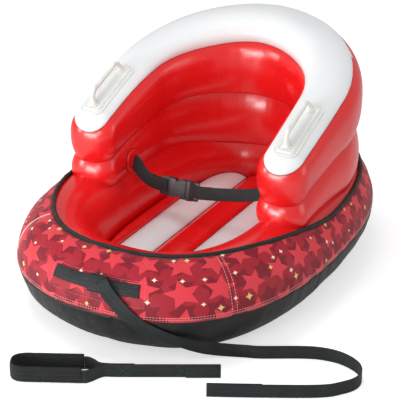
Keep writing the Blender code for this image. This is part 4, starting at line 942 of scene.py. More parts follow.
def back_section(share, angle, upper, grow=0.0, turn=0.0):
    """A point of a backrest tube's section, pressed flat below; turn swings it round an arm's end."""
    share, angle, grow, turn = np.broadcast_arrays(share, angle, grow, turn)
    y = BACK.point(share)[..., 1]
    sine = np.sin(angle)
    half_width = arm_width(upper, y) / 2
    out, up = superellipse(angle, half_width, 1.0, UPPER_SQUARENESS if upper else 2.0)
    lean = 0.0
    if upper:
        flat = sine < -LOWER_PRESS + 1e-6
        lean = np.where(flat, 0.0, UPPER_LEAN * swell(y))
        out = np.where(flat, arm_width(False, y) / 2 * np.cos(angle), out)
        up = np.where(flat, -UPPER_PRESS, up)
    else:
        up = np.clip(sine, -LOWER_PRESS, LOWER_PRESS)
    per_width = np.sin(turn) * ARM_END_LENGTH / BACK.length / half_width
    y = BACK.point(share + np.abs(out) * per_width)[..., 1]
    centre, half = upper_heights(y) if upper else lower_heights(y)
    if upper:
        half = half * np.where(sine < 0, UPPER_BELOW_SHARE / (1 - UPPER_BELOW_SHARE) / UPPER_PRESS, 1.0)
    up = up * half
    reach = np.maximum(np.hypot(out, up), 1e-9)
    out = out + grow * out / reach
    up = up + grow * up / reach
    return BACK.place(share + np.abs(out) * per_width, lean + out * np.cos(turn), centre + up)


def back_stations(parts, count):
    """Shares along the backrest, and how far the rows at its ends are turned round the arm's end."""
    first = ARM_END_LENGTH / BACK.length
    body = first + (1 - 2 * first) * np.arange(count + 1) / count
    ends = np.full(len(parts), first)
    turn = np.pi / 2 * (1 - np.asarray(parts, float))
    shares = np.concatenate([ends, body, 1 - ends])
    return shares[:, None], np.concatenate([-turn, np.zeros(count + 1), turn[::-1]])[:, None]


def backrest_tube(name, upper, seed, node):
    shares, turns = back_stations(np.arange(18) / 18, 200)
    columns = 128
    angle = (2 * np.pi * np.arange(columns) / columns)[None]
    if upper:
        marks = (0, 18, 50, 68, columns)
        angle = np.array([np.interp(np.arange(columns), marks, (0, low, high, np.pi, 2 * np.pi))
                          for low, high in zip(*skin_edges(shares, turns))])
    press = math.asin(LOWER_PRESS)
    folds = folds_along(BACK.length, spacing=0.019, seed=seed)(shares * BACK.length)
    if upper:
        away = np.abs(np.abs(angle - 1.5 * np.pi) - (np.pi / 2 - press))
    else:
        away = np.minimum(np.abs(angle - press), np.abs(angle - np.pi + press))
    near = np.exp(-away / BACK_WELD_REACH)
    turn = smoothstep(np.abs(np.cos(np.pi * shares)), 1.0, 0.6)
    inner = bell(angle - math.pi, 0.8)
    soft = folds_along(BACK.length, spacing=0.052, seed=seed + 7, width=(0.25, 0.45))(shares * BACK.length)
    grow = -BACK_WELD_FOLD * folds * near - BACK_SOFT_FOLD * soft * inner * turn
    if upper:
        grow = grow - weld_groove(shares, angle, turns)
    grid = back_section(shares, angle, upper, grow, turns)
    add_grid(name, grid, RED, loop_columns=True, closed=True, merge=MERGE_WITHIN, replaces=(node,))


def skin_edges(shares, turns):
    """Section angles between which the white skin lies, row by row."""
    rear = smoothstep(BACK.point(shares)[:, 0, 1], *SKIN_TURN)
    front = np.sin(turns[:, 0]) ** 2
    low, high = (arm + (back - arm) * rear for arm, back in zip(SKIN_ARM_ANGLES, SKIN_REAR_ANGLES))
    return low + (SKIN_FRONT_ANGLE - low) * front, high + (np.pi - SKIN_FRONT_ANGLE - high) * front


def weld_groove(shares, angle, turns):
    """How deep the welds along the white skin's two edges pull the tube in."""
    low, high = (side[:, None] for side in skin_edges(shares, turns))
    rear = smoothstep(BACK.point(shares)[..., 1], 0.0, 0.20)
    inner, outer = ((away + np.pi) % (2 * np.pi) - np.pi for away in (angle - high, low - angle))
    inner, outer = (np.exp(-np.where(away > 0, away / GROOVE_REACH[0], -away / GROOVE_REACH[1]))
                    for away in (inner, outer))
    arm, back = GROOVE_DEPTHS
    return (arm + (back - arm) * rear) * inner + arm * outer


def white_skin():
    """The skin on the upper tube, its raised inner line and the weld round its edge."""
    shares, turns = back_stations(np.arange(22) / 22, 180)
    low, high = skin_edges(shares, turns)
    columns = np.linspace(0, 1, 34)[None]
    angle = low[:, None] + (high - low)[:, None] * columns
    folds = folds_along(BACK.length, spacing=0.024, seed=31)(shares * BACK.length)
    edge = np.exp(-np.minimum(columns, 1 - columns) / 0.05)
    groove = weld_groove(shares, angle, turns)
    outer = back_section(shares, angle, True, SKIN_TOP - SKIN_FOLD * folds * edge - groove, turns)
    inner = back_section(shares, angle, True, GAP * 0.5 - groove, turns)
    grid = np.concatenate([outer, inner[:, ::-1]], 1)
    add_grid(
        "white_top_skin", grid, WHITE, loop_columns=True, closed=True, merge=MERGE_WITHIN,
        replaces=("top_skin",)
    )
    inside = low + (SKIN_SEAM_ANGLE - low) * smoothstep(BACK.point(shares)[:, 0, 1], *SKIN_SEAM_TURN)
    seam = back_section(shares[:, 0], inside, True, SKIN_TOP + 0.0001, turns[:, 0])
    seam = seam[np.abs(inside - low) > 0.02]
    add_tube("top_skin_seam", thin(seam, 0.004), 0.0009, WHITE, sides=8)
    rims = []
    for side in (low[:, None], high[:, None]):
        lift = SKIN_THICK * 0.45 - weld_groove(shares, side, turns)
        rims.append(back_section(shares, side, True, lift, turns)[:, 0])
    line = np.vstack([rims[0], rims[1][::-1]])
    # The weld line round the skin is dark red, painted shade for the thin dark line along the weld's groove
    add_tube("top_skin_weld", thin(line, 0.0035, True), 0.00085, WELD_SHADE_RED, sides=8, closed_run=True)


def floor_welds():
    """Weld lines in the valleys between the floor's channels, in a dark red that paints the valleys' shade.
    """
    for number, x in enumerate((-FAR, -HALF, HALF, FAR), 1):
        low, high = wall_crossings(x, 0)
        y = np.linspace(low + 0.008, high - 0.008, 80)
        height = FLOOR_TOP - FLOOR_VALLEY + 0.0005 + 0.0002 * np.sin(y * 190 + number)
        add_tube(f"floor_weld_{number}", np.stack([0 * y + x, y, height], -1), 0.0010, WELD_SHADE_RED, sides=8)


base_ring()
floor_channel("air_floor_centre_channel", -HALF + GAP / 2, HALF - GAP / 2, RED, 21)
floor_channel("air_floor_white_channel_right", HALF + GAP / 2, FAR - GAP / 2, FLOOR_WHITE, 22)
floor_channel("air_floor_white_channel_left", -FAR + GAP / 2, -HALF - GAP / 2, FLOOR_WHITE, 23)
floor_channel("air_floor_side_channel_right", FAR + GAP / 2, None, RED, 24, side=1)
floor_channel("air_floor_side_channel_left", FAR + GAP / 2, None, RED, 25, side=-1)
floor_welds()
backrest_tube("backrest_lower", False, 41, "backrest_lower_tube")
backrest_tube("backrest_upper", True, 43, "backrest_upper_tube")
white_skin()


# Cover: depth of what its sewing does and how far it reaches, by the seam that it belongs to
SIDE_PUCKER, SIDE_PUCKER_REACH = 0.0011, 0.011
UPRIGHT_PUCKER, UPRIGHT_PUCKER_REACH = 0.0009, 0.010
SIDE_DIP, SIDE_DIP_REACH = 0.0014, 0.0022
UPRIGHT_DIP, UPRIGHT_DIP_REACH = 0.0016, 0.0025
# The shell's broad wrinkles lie round a line below the side seam; its tight ones fade out from the seam
WRINKLE, WRINKLE_LINE, WRINKLE_REACH = 0.0024, 0.030, 0.034
TIGHT_WRINKLE, TIGHT_WRINKLE_REACH = 0.0028, 0.026
SHELL_WAVE = 0.0008


def opening_angle(share):
    """Section angle of the cover's top edge, high in front and low round the backrest."""
    y = RING.point(share)[..., 1]
    fall = smoothstep(y, OPENING_FALL_START, OPENING_FALL_END)
    out = OPENING_FRONT + (OPENING_BACK - OPENING_FRONT) * fall
    part = np.clip((out - TUBE_CENTRE_OUT) / TUBE_HALF_WIDTH, 0.0, 1.0)
    return np.arccos(part ** (TUBE_SQUARENESS / 2))


def fabric_lift(share, angle, seed):
    """Shallow waves of the padded cover, in metres."""
    run = share * RING.length
    waves = 0.0005 * np.sin(run * 61 + 2.1 * np.sin(run * 17 + seed) + angle * 3)
    return waves + 0.0004 * np.sin(run * 113 + angle * 7 + seed)


def cover_panel(name, node, first, last, seed):
    """Printed fabric between two upright seams, from the side seam to the opening."""
    half_gap = GAP / RING.length
    rows = int((last - first) * 5)
    share = np.linspace(first / RING_STATIONS + half_gap, last / RING_STATIONS - half_gap, rows)[:, None]
    low = edge_step(GAP)
    angle = low + (opening_angle(share) - low) * np.linspace(0, 1, 26)[None]
    from_side = np.minimum(share - share[0], share[-1] - share) * RING.length
    from_low = angle * TUBE_HALF_HEIGHT
    puckers = folds_along(RING.length, spacing=0.016, seed=seed)(share * RING.length)
    pull = SIDE_PUCKER * puckers * np.exp(-from_low / SIDE_PUCKER_REACH) * (1 - np.exp(-from_low / 0.002))
    upright = folds_along(0.2, spacing=0.014, seed=seed + 3)(from_low)
    upright = UPRIGHT_PUCKER * upright * np.exp(-from_side / UPRIGHT_PUCKER_REACH)
    seam = UPRIGHT_DIP * bell(from_side, UPRIGHT_DIP_REACH) + SIDE_DIP * bell(from_low, SIDE_DIP_REACH)
    lift = COVER_OUT + fabric_lift(share, angle, seed) - pull - upright - seam
    outer = ring_surface(share, angle, lift)
    inner = ring_surface(share, angle, GAP)
    grid = np.concatenate([outer, inner[:, ::-1]], 1)
    marks = np.concatenate([from_low, from_low[:, ::-1], from_low[:, :1]], 1)
    maps = paired(share * RING.length * COVER_STRETCH, marks)
    add_grid(name, grid, PRINT, loop_columns=True, spots=maps, caps=True, replaces=(node,))


def shell_surface(share, angle):
    """Outer face of the black shell below the side seam."""
    run = share * RING.length
    down = -angle * TUBE_HALF_HEIGHT
    slanted = run + 0.08 * down * np.sin(run * 9)
    folds = folds_along(RING.length, spacing=0.034, seed=61, width=(0.14, 0.34))(slanted)
    tight = folds_along(RING.length, spacing=0.015, seed=62)(run)
    waves = np.sin(run * 47 + down * 60 + 1.7 * np.sin(run * 13)) * smoothstep(down, 0.0, 0.03)
    lift = COVER_OUT - WRINKLE * folds * bell(down - WRINKLE_LINE, WRINKLE_REACH)
    lift = lift - TIGHT_WRINKLE * tight * np.exp(-down / TIGHT_WRINKLE_REACH) + SHELL_WAVE * waves
    return ring_surface(share, angle, lift - SIDE_DIP * bell(down, SIDE_DIP_REACH))


def cover_shell():
    """The shell down to the ground and the flat disc that closes it underneath."""
    rows, columns = 320, 40
    share = (np.arange(rows) / rows)[:, None]
    top = edge_step(GAP)
    angle = (-top + (top - np.pi / 2) * np.linspace(0, 1, columns))[None]
    side = shell_surface(share, angle)
    disc = np.concatenate([side[:, -1:] * (1 - t) for t in np.linspace(0, 1, 14)[1:-1]], 1)
    disc[..., 2] = 0.0006 + 0.0005 * np.sin(disc[..., 0] * 55) * np.sin(disc[..., 1] * 48)
    side[..., 2] = np.maximum(side[..., 2], SHELL_LOWEST)
    outer = np.concatenate([side, disc], 1)
    lining = ring_surface(share, angle, GAP * 1.5)
    inside = TUBE_BOTTOM - 0.0006
    lining[..., 2] = np.maximum(lining[..., 2], inside)
    disc[..., 2] = inside
    grid = np.concatenate([outer, np.concatenate([lining, disc], 1)[:, ::-1]], 1)
    down = lengths(outer[0])
    run = np.arange(rows + 1) / rows * RING.length * COVER_STRETCH
    maps = map_grid(run, np.concatenate([down, down[::-1]]))
    add_grid("shell_cover", grid, NYLON, True, True, spots=maps, replaces=("cover_shell",))


def sew_on_cover(rows, share, angle, lift=0.0004):
    rows.row(ring_surface(share, angle, COVER_OUT + lift), ring_normal(share, angle, COVER_OUT))


def cover_binding():
    share = np.arange(360) / 360
    angle = opening_angle(share) + edge_step(BINDING_RADIUS + GAP)
    run = share * RING.length
    swing = 0.00035 * np.sin(run * 140 + 3 * np.sin(run * 23))
    points = ring_surface(share, angle, BINDING_RADIUS + 2 * GAP + swing)
    radii = BINDING_RADIUS * (1 + 0.04 * np.sin(run * 210))
    add_tube("opening_binding", points, radii, TAPE, closed_run=True, replaces=("cover_binding",))
    rows = Stitches("binding_stitches", GREY_THREAD, BINDING_STITCH)
    sew_on_cover(rows, share, opening_angle(share) - edge_step(0.0022), 0.0005)
    rows.made()


def upright_angles(share, low):
    """Section angles up the cover at one place, from a distance above the side seam to the opening."""
    return np.linspace(edge_step(low), opening_angle(share) - edge_step(0.004), 60)


def seam_stitches():
    """Two rows over the side seam and one on each side of two uprights; the left upright has piping."""
    rows = Stitches("side_seam_stitches", PALE_THREAD, COVER_STITCH)
    for distance in (0.0048, 0.0088):
        sew_on_cover(rows, np.arange(421) / 420, edge_step(distance))
    uprights = Stitches("upright_seam_stitches", PALE_THREAD, COVER_STITCH)
    for station in (SIDE_SEAM_STATION, RING_STATIONS / 2):
        for aside in (-0.0042, 0.0042):
            share = station / RING_STATIONS + aside / RING.length / 1.2
            sew_on_cover(uprights, share, upright_angles(share, 0.011))
    share = -SIDE_SEAM_STATION / RING_STATIONS
    spots = ring_surface(share, upright_angles(share, 0.006), COVER_OUT - 0.0006)
    add_tube("left_seam_piping", spots, 0.0014, PALE_THREAD, sides=10)
    rows.made()
    uprights.made()


cover_panel("print_front_panel", "cover_front_panel", -SIDE_SEAM_STATION, SIDE_SEAM_STATION, 51)
cover_panel("print_right_panel", "cover_right_panel", SIDE_SEAM_STATION, RING_STATIONS / 2, 52)
cover_panel("print_left_panel", "cover_left_panel", RING_STATIONS / 2, RING_STATIONS - SIDE_SEAM_STATION, 53)
cover_shell()
cover_binding()
seam_stitches()


# Grab handles
def upper_top(side, along, across, lift):
    """A point above the top of an arm; along runs back and across runs outwards."""
    along, across, lift = np.broadcast_arrays(along, across, lift)
    y = HANDLE_Y + along
    half_width = arm_width(True, y) / 2
    centre, half = upper_heights(y)
    share = across / half_width
    rise = (1 - np.abs(share) ** UPPER_SQUARENESS) ** (1 / UPPER_SQUARENESS)
    flank = np.sign(share) * np.abs(share) ** (UPPER_SQUARENESS - 1) / half_width
    normal = unit(np.stack([flank, 0 * flank, rise ** (UPPER_SQUARENESS - 1) / half], -1))
    slope = np.arctan(TOP_LINE[1] + 2 * TOP_LINE[2] * (y - BACK_FRONT))
    x = BACK_HALF_WIDTH + UPPER_LEAN * swell(y) + across + normal[..., 0] * lift
    up = normal[..., 2] * lift
    return np.stack([side * x, y - up * np.sin(slope), centre + half * rise + up * np.cos(slope)], -1)


PAD_SEAT = SKIN_TOP + GAP
PAD_TOP = PAD_SEAT + PAD_FLANGE + PAD_STEP


def rounded_outline(half_length, half_width, radius, per_corner=9, per_side=8):
    """A rectangle with round corners, as arcs joined by evenly divided sides."""
    arcs = []
    for corner, (u, v) in enumerate(((1, 1), (-1, 1), (-1, -1), (1, -1))):
        angle = np.pi / 2 * (corner + np.arange(per_corner + 1) / per_corner)
        centre = np.array((u * (half_length - radius), v * (half_width - radius)))
        arcs.append(centre + radius * np.stack([np.cos(angle), np.sin(angle)], -1))
    steps = np.arange(1, per_side)[:, None] / per_side
    sides = [a[-1] + (b[0] - a[-1]) * steps for a, b in zip(arcs, arcs[1:] + arcs[:1])]
    return np.vstack([stretch for pair in zip(arcs, sides) for stretch in pair])


def handle_pad(name, side, node):
    """Pad with nested stepped rims, moulded to the arm."""
    flange = PAD_SEAT + PAD_FLANGE
    # Inset from the outline and height over the arm, rim by rim
    layers = (
        (0.0, PAD_SEAT - 0.0012), (0.0, PAD_SEAT + 0.0006), (0.0002, flange - 0.0006),
        (0.0008, flange - 0.0001), (0.0018, flange), (0.0034, flange), (0.0038, flange - 0.0007),
        (0.0044, flange - 0.0007), (0.0048, flange), (PAD_STEP_INSET - 0.0006, flange + 0.0001),
        (PAD_STEP_INSET, flange + 0.0004), (PAD_STEP_INSET + 0.0004, PAD_TOP - 0.0008),
        (PAD_STEP_INSET + 0.0012, PAD_TOP - 0.0001), (0.0110, PAD_TOP), (0.0116, PAD_TOP - 0.0008),
        (0.0124, PAD_TOP - 0.0010), (0.0140, PAD_TOP - 0.0008), (0.0160, PAD_TOP - 0.0003),
        (0.0190, PAD_TOP), (0.0225, PAD_TOP), (0.0246, PAD_TOP),
    )
    rings = []
    for inset, lift in layers:
        radius = max(PAD_CORNER - inset, 0.0003 + 0.1 * (PAD_HALF_WIDTH - inset))
        outline = rounded_outline(PAD_HALF_LENGTH - inset, PAD_HALF_WIDTH - inset, radius)
        rings.append(upper_top(side, outline[:, 0], HANDLE_OUT + outline[:, 1], lift))
    add_grid(name, np.array(rings), HANDLE, loop_columns=True, caps=True, replaces=(node,))


def handle_grip(name, side, node):
    """Arched grip with a thick foot and a collar at each end."""
    reach = GRIP_FEET / 2
    # Place along the arm, height and radius, from the foot to near the middle
    half = (
        (reach, 0.0, HANDLE_FOOT), (reach, 0.0028, HANDLE_FOOT * 0.99), (reach, 0.0055, HANDLE_FOOT * 0.93),
        (reach - 0.001, 0.0120, HANDLE_ROD * 1.12), (reach - 0.004, 0.0190, HANDLE_ROD * 1.04),
        (reach - 0.009, 0.0250, HANDLE_ROD), (reach - 0.016, 0.0290, HANDLE_ROD),
        (reach - 0.026, HANDLE_RISE - 0.0004, HANDLE_ROD), (0.010, HANDLE_RISE, HANDLE_ROD),
    )
    route = [(-u, h, r) for u, h, r in half] + [(u, h, r) for u, h, r in reversed(half)]
    along, height, radii = resample(route, 0.0022).T
    points = upper_top(side, along, HANDLE_OUT, PAD_TOP + GAP + height)
    knuckle = 1 + 0.06 * bell(np.abs(along) - reach + 0.024, 0.0016)
    outward = np.array((float(side), 0.0, 0.0))
    add_tube(name, points, radii * knuckle, HANDLE, sides=20, up=outward, replaces=(node,))
    for count, foot in enumerate((points[0], points[-1])):
        ring = foot + UP * np.array((-0.0006, 0.0004, 0.0014, 0.0020))[:, None]
        sizes = HANDLE_FOOT + np.array((0.0030, 0.0030, 0.0022, 0.0))
        add_tube(f"{name}_collar_{count}", ring, sizes, HANDLE, sides=24, up=outward)


for label, side in (("right", 1), ("left", -1)):
    handle_pad("moulded_pad_" + label, side, "handle_pad_" + label)
    handle_grip("moulded_grip_" + label, side, "handle_grip_" + label)


# Lap belt
BELT_HEIGHT = float(lower_heights(BELT_Y)[0]) - BELT_BELOW_MIDDLE
BELT_MIDDLE = BELT_HEIGHT - BELT_DROP
BELT_REACH = BACK_HALF_WIDTH - float(arm_width(False, BELT_Y)) / 2 - 2 * GAP
BELT_FACE = np.array((0.0, -math.cos(BELT_TILT), math.sin(BELT_TILT)))
BELT_UP = np.array((0.0, math.sin(BELT_TILT), math.cos(BELT_TILT)))
BUCKLE_END = BUCKLE_START + ADJUSTER_LENGTH + SOCKET_LENGTH + GAP + PLUG_LENGTH
MIDDLE_BAR = BUCKLE_START + BUCKLE_BAR + FIRST_SLOT
LOOP_OUT = BAR_THICK / 2 + GAP + WEB_THICK / 2
# The webbing's loop fills the open part of its slot
LOOP_REACH = 0.0055
FOLD_OUT = (WEB_THICK + FOLD_GAP) / 2


def belt_point(x, face=0.0, up=0.0):
    """A point of the belt's middle, off its face and up its width, which leans back."""
    return np.array((x, BELT_Y, BELT_MIDDLE)) + BELT_FACE * face + BELT_UP * up


def belt_run(start, end, shape, face):
    """The belt's middle between a patch and the buckle: it hangs straight down and stands off by face."""
    corners = []
    for share, drop in shape:
        x = start + (end - start) * share
        corners.append(belt_point(x, float(face(x)), BELT_DROP * (1 - drop) / math.cos(BELT_TILT)))
        corners[-1][1] = BELT_Y + BELT_FACE[1] * float(face(x))
    return resample(corners, 0.008)


def hairpin(centre, turn, out, from_front):
    """The webbing's turn round a bar, ahead along x for turn 1."""
    points = []
    for k in range(9):
        angle = math.pi * k / 8
        face = out * math.cos(angle) * (1 if from_front else -1)
        points.append(belt_point(centre + turn * LOOP_REACH * math.sin(angle), face))
    return points


def run_height(run, x):
    """How far up the belt's width its middle lies at x."""
    return float((read_rows(x, run[:, 0], run) - belt_point(x)) @ BELT_UP)


def inner_side(side, along, up, lift):
    """A point off the inner side of the lower tube at the belt."""
    y = BELT_Y + along
    half_width = arm_width(False, y) / 2
    centre, half = lower_heights(y)
    sine = (BELT_HEIGHT + up - centre) / half
    out = np.sqrt(1 - sine * sine)
    normal = unit(np.stack([out / half_width, 0 * out, sine / half], -1))
    x = BACK_HALF_WIDTH - half_width * out - normal[..., 0] * lift
    return np.stack([side * x, y, BELT_HEIGHT + up + normal[..., 2] * lift], -1)


def belt_patch(name, side, node):
    """Round welded patch with a raised lip round its slot."""
    angle = 2 * np.pi * np.arange(72) / 72
    # Inset from the patch's edge and height off the arm: the rim, then a flat with the slot
    inset = np.array((0.0, 0.0, 0.0003, 0.0010, 0.0018, 0.0024, 0.0030, 0.0036, 0.0044, 0.0056))
    lift = np.array((-0.0012, 0.0012, 0.0019, 0.0022, 0.0021, 0.0016, 0.0011, 0.0016, 0.0022, 0.0024))
    inner = np.linspace(0.0068, PATCH_RADIUS - 0.0006, 26)
    inset = np.concatenate([inset, inner])
    lift = np.concatenate([lift, np.full(26, 0.0024)])
    radius = (PATCH_RADIUS - inset)[:, None]
    u, v = radius * np.cos(angle), radius * np.sin(angle)
    long = v * math.cos(BELT_TILT) + u * math.sin(BELT_TILT)
    short = u * math.cos(BELT_TILT) - v * math.sin(BELT_TILT)
    away = np.maximum(np.abs(long) - WEB_WIDTH / 2 - 0.0006, np.abs(short) - WEB_THICK / 2 - 0.0005)
    lip = 0.0011 * bell(away - 0.0013, 0.0011) - 0.0016 * smoothstep(-away, -0.0003, 0.0006)
    grid = inner_side(side, u, v, lift[:, None] + lip)
    add_grid(name, grid, RED, loop_columns=True, caps=True, replaces=(node,))
    edge = inner_side(side, PATCH_RADIUS * np.cos(angle), PATCH_RADIUS * np.sin(angle), 0.0006)
    # The dark red ring round the patch is painted shade for the thin dark line of its weld groove
    add_tube(name + "_weld", edge, 0.0009, WELD_SHADE_RED, sides=8, closed_run=True)


def lap_ribbon(name, points, node, **more):
    return add_ribbon(name, points, BELT_UP, WEB_WIDTH, WEB_THICK, WEBBING, 0.0016, replaces=(node,), **more)


def belt_strap_left():
    """From the left patch through the adjuster, round its middle bar and back behind."""
    bar = MIDDLE_BAR + BUCKLE_BAR
    settle = BUCKLE_START - TAIL_LENGTH - BELT_SETTLE

    def face(x):
        return LOOP_OUT * smoothstep(x, PATCH_THICK * 2 - BELT_REACH, settle)

    run = belt_run(-BELT_REACH, BUCKLE_START - 0.001, BELT_LEFT_SHAPE, face)
    level = [belt_point(BUCKLE_START + 0.003, LOOP_OUT), belt_point(bar - 0.002, LOOP_OUT)]
    tail = []
    for k in range(5):
        x = bar - 0.002 - (TAIL_LENGTH + bar - BUCKLE_START) * k / 4
        tail.append(belt_point(x, -LOOP_OUT, run_height(run, x) if x < BUCKLE_START else 0.0))
    points = np.vstack([run, level, hairpin(bar, 1, LOOP_OUT, True), tail])
    lap_ribbon("lap_strap_left", points, "belt_strap_left")


def loop_out(x):
    return LOOP_OUT + (FOLD_OUT - LOOP_OUT) * smoothstep(x, BUCKLE_END, BUCKLE_END + BELT_SETTLE)


def belt_strap_right():
    """From its sewn fold round the plug's bar to the right patch."""
    bar = BUCKLE_END - BUCKLE_BAR
    fold_end = BUCKLE_END + FOLD_LENGTH

    def face(x):
        return loop_out(x) * (1 - smoothstep(x, fold_end + 0.004, fold_end + 0.060))

    run = belt_run(BUCKLE_END + 0.001, BELT_REACH, BELT_RIGHT_SHAPE, face)
    back = []
    for k in range(7):
        x = bar + 0.001 + (fold_end - bar) * k / 6
        up = run_height(run, x) if x > BUCKLE_END + 0.001 else 0.0
        back.append(belt_point(x, -float(loop_out(x)), up))
    front = [belt_point(bar + 0.001, LOOP_OUT)]
    points = np.vstack([back[::-1], hairpin(bar, -1, LOOP_OUT, False), front, run])
    strap = lap_ribbon("lap_strap_right", points, "belt_strap_right", body=None)
    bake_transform(strap)
    start = BUCKLE_END + 0.010
    long, high = LAP_BOX
    lift = run_height(run, start)
    slope = unit(belt_point(start + long, 0, run_height(run, start + long)) - belt_point(start, 0, lift))
    corner = belt_point(start, FOLD_OUT + WEB_THICK / 2 + 0.0001, lift - high / 2)
    rows = Stitches("lap_strap_stitches", GREY_THREAD, LAP_STITCH, body="plug")
    for line in box_lines((0, 0), (long, high), 12, ((0, 2), (3, 1))):
        rows.row(corner + slope * line[:, :1] + BELT_UP * line[:, 1:], BELT_FACE)
    rows.made()


for label, side in (("right", 1), ("left", -1)):
    belt_patch("welded_patch_" + label, side, "belt_patch_" + label)
belt_strap_left()
belt_strap_right()


# Anchor strip and hitch
def on_cover(share, along, lift):
    """A point over the front of the cover; along is measured up its section."""
    return ring_surface(share, STRIP_ANGLE + np.asarray(along) / SECTION_RADIUS, COVER_OUT + lift)


def cover_face(share, along):
    return unit(on_cover(share, along, 0.01) - on_cover(share, along, 0.0))


def strip_lift(share):
    """How far the strip stands off the cover: it rises over the hitch."""
    away = np.abs(share - HITCH_SHARE) * RING.length
    flat = smoothstep(away, HITCH_HALF_WIDTH, HITCH_HALF_WIDTH * 2.4)
    return COVER_REST + (HITCH_LIFT - COVER_REST) * (1 - flat)


def tow_anchor_strip():
    """The strip and the crossed box that holds each of its ends."""
    share = np.linspace(STRIP_START_SHARE, STRIP_END_SHARE, 90)[:, None]
    outline = strap_profile(WEB_WIDTH, STRIP_THICK)
    lift = strip_lift(share) + STRIP_THICK / 2 + outline[None, :, 1]
    grid = on_cover(share, outline[None, :, 0], lift)
    maps = map_grid(share[:, 0] * RING.length * 1.3, outline[:, 0])
    add_grid(
        "anchor_strip", grid, WEBBING, loop_columns=True, spots=maps, caps=True,
        replaces=("tow_anchor_strip",)
    )
    sewn = Stitches("anchor_strip_stitches", GREY_THREAD, STRAP_STITCH)
    for first, last in STRIP_BOXES:
        for line in box_lines((first, -BOX_HALF_HEIGHT), (last, BOX_HALF_HEIGHT), 14):
            share, along = line.T
            sewn.row(on_cover(share, along, strip_lift(share) + STRIP_THICK), cover_face(share, along))
    sewn.made()


def anchor_outline():
    """Stitched rectangle on the cover round the anchor strip."""
    rows = Stitches("anchor_outline_stitches", PINK_THREAD, OUTLINE_STITCH)
    for line in box_lines(*STRIP_SURROUND, 60, diagonals=()):
        sew_on_cover(rows, *line.T)
    rows.made()


def tow_hitch():
    """Webbing looped round the strip."""
    under = HITCH_LIFT / 2
    over = HITCH_LIFT + STRIP_THICK + GAP * 2 + HITCH_THICK / 2
    radius = (over - under) / 2
    end = WEB_WIDTH / 2 + GAP
    half = [(-end + 2 * end * t, radius) for t in np.linspace(0, 1, 12)[:-1]]
    for angle in np.linspace(np.pi / 2, -np.pi / 2, 9)[:-1]:
        half.append((end + radius * math.cos(angle), radius * math.sin(angle)))
    half = np.array(half)
    route = np.vstack([half, -half]) + (0.0, (under + over) / 2)
    along = unit(np.roll(route, -1, 0) - np.roll(route, 1, 0))
    normal = np.stack([-along[:, 1], along[:, 0]], -1)
    outline = strap_profile(2 * HITCH_HALF_WIDTH, HITCH_THICK)
    spot = route[:, None] + normal[:, None] * outline[None, :, 1:]
    share = HITCH_SHARE + outline[None, :, 0] / RING.length
    grid = on_cover(share, spot[..., 0], spot[..., 1])
    maps = map_grid(lengths(np.vstack([route, route[:1]])), outline[:, 0])
    add_grid("hitch_loop", grid, WEBBING, True, True, spots=maps, replaces=("tow_hitch",))


tow_anchor_strip()
anchor_outline()
tow_hitch()


# Straps on the ground
def cover_normal(points):
    """Directions off the ring's curve at points near the cover."""
    away = np.linalg.norm(RING.points[None, ::4, :2] - points[:, None, :2], axis=-1).argmin(1)
    nearest = RING.points[::4][away].copy()
    nearest[:, 2] = TUBE_CENTRE_HEIGHT
    return unit(points - nearest)


def sideways(points):
    along = headings(points)
    return unit(np.stack([along[:, 1], -along[:, 0], 0 * along[:, 0]], -1))


def folded_end(points, length):
    """The turn and the doubled-back stretch at a strap's far end."""
    out = TOW_THICK + FOLD_GAP
    along, aside = headings(points)[-1], sideways(points)[-1]
    angle = (np.pi * np.arange(1, 8) / 7)[:, None]
    turned = points[-1] + out / 2 * (aside * (1 - np.cos(angle)) + along * np.sin(angle))
    run = lengths(points[::-1])
    back = (points + sideways(points) * out)[::-1]
    return np.vstack([turned, back[(run > 0.004) & (run <= length)]])


def tow_ribbon(name, points, sides=UP, **more):
    return add_ribbon(name, points, sides, TOW_WIDTH, TOW_THICK, WEBBING, **more)


def sewn_box(rows, line, face, posts=False):
    """A crossed box of stitches along a stretch of strap, on the side that face points to."""
    flat = line + face * TOW_THICK / 2
    for side in (-1, 1):
        rows.row(flat + UP * side * BOX_HALF_HEIGHT, face)
    steps = np.linspace(-BOX_HALF_HEIGHT, BOX_HALF_HEIGHT, len(line))[:, None]
    for side in (1, -1):
        rows.row(flat + UP * side * steps, face)
    for end in (0, -1) if posts else ():
        post = UP * np.linspace(-BOX_HALF_HEIGHT, BOX_HALF_HEIGHT, 8)[:, None]
        rows.row(flat[end] + post, face[end])


def declare_cord(points, pieces):
    [tuple(p) for p in resample(points, 0.006)]


def tow_strap():
    """Webbing that lies against the cover, then turns on its edge along the ground."""
    points = resample(TOW_ROUTE, 0.010)
    on_ground = 1 - smoothstep(points[:, 2], TOW_WIDTH / 2 + 0.003, TOW_WIDTH + 0.030)[:, None]
    leaning = unit(np.cross(cover_normal(points), headings(points)))
    across = unit(leaning * (1 - on_ground) + UP * on_ground)
    strap = tow_ribbon("tow_webbing", points, across, replaces=("tow_strap",))
    layer = tow_ribbon("tow_webbing_fold", folded_end(points, TOW_FOLD))
    rows = Stitches("tow_webbing_stitches", GREY_THREAD, STRAP_STITCH)
    spots = resample(points[::-1], 0.002)
    run = lengths(spots)
    for reach in TOW_BOXES:
        line = spots[(run > reach) & (run < reach + BOX_LENGTH)]
        sewn_box(rows, line, -sideways(line), posts=True)
    declare_cord(points, (layer, rows.made()))


def grip_place(along, aside, height=PULL_HEIGHT):
    forward = np.array((math.cos(GRIP_HEADING), math.sin(GRIP_HEADING), 0.0))
    across = np.array((math.sin(GRIP_HEADING), -math.cos(GRIP_HEADING), 0.0))
    return np.array((*GRIP_PLACE, height)) + forward * along + across * aside


def fork_points(side):
    """From an end of the sleeve to where the strap's two legs meet."""
    half = GRIP_WIDTH / 2
    places = ((-GAP, half), (-0.008, half), (-0.020, half * 0.66), (-0.031, half * 0.22))
    return np.array([grip_place(a, side * b) for a, b in places])


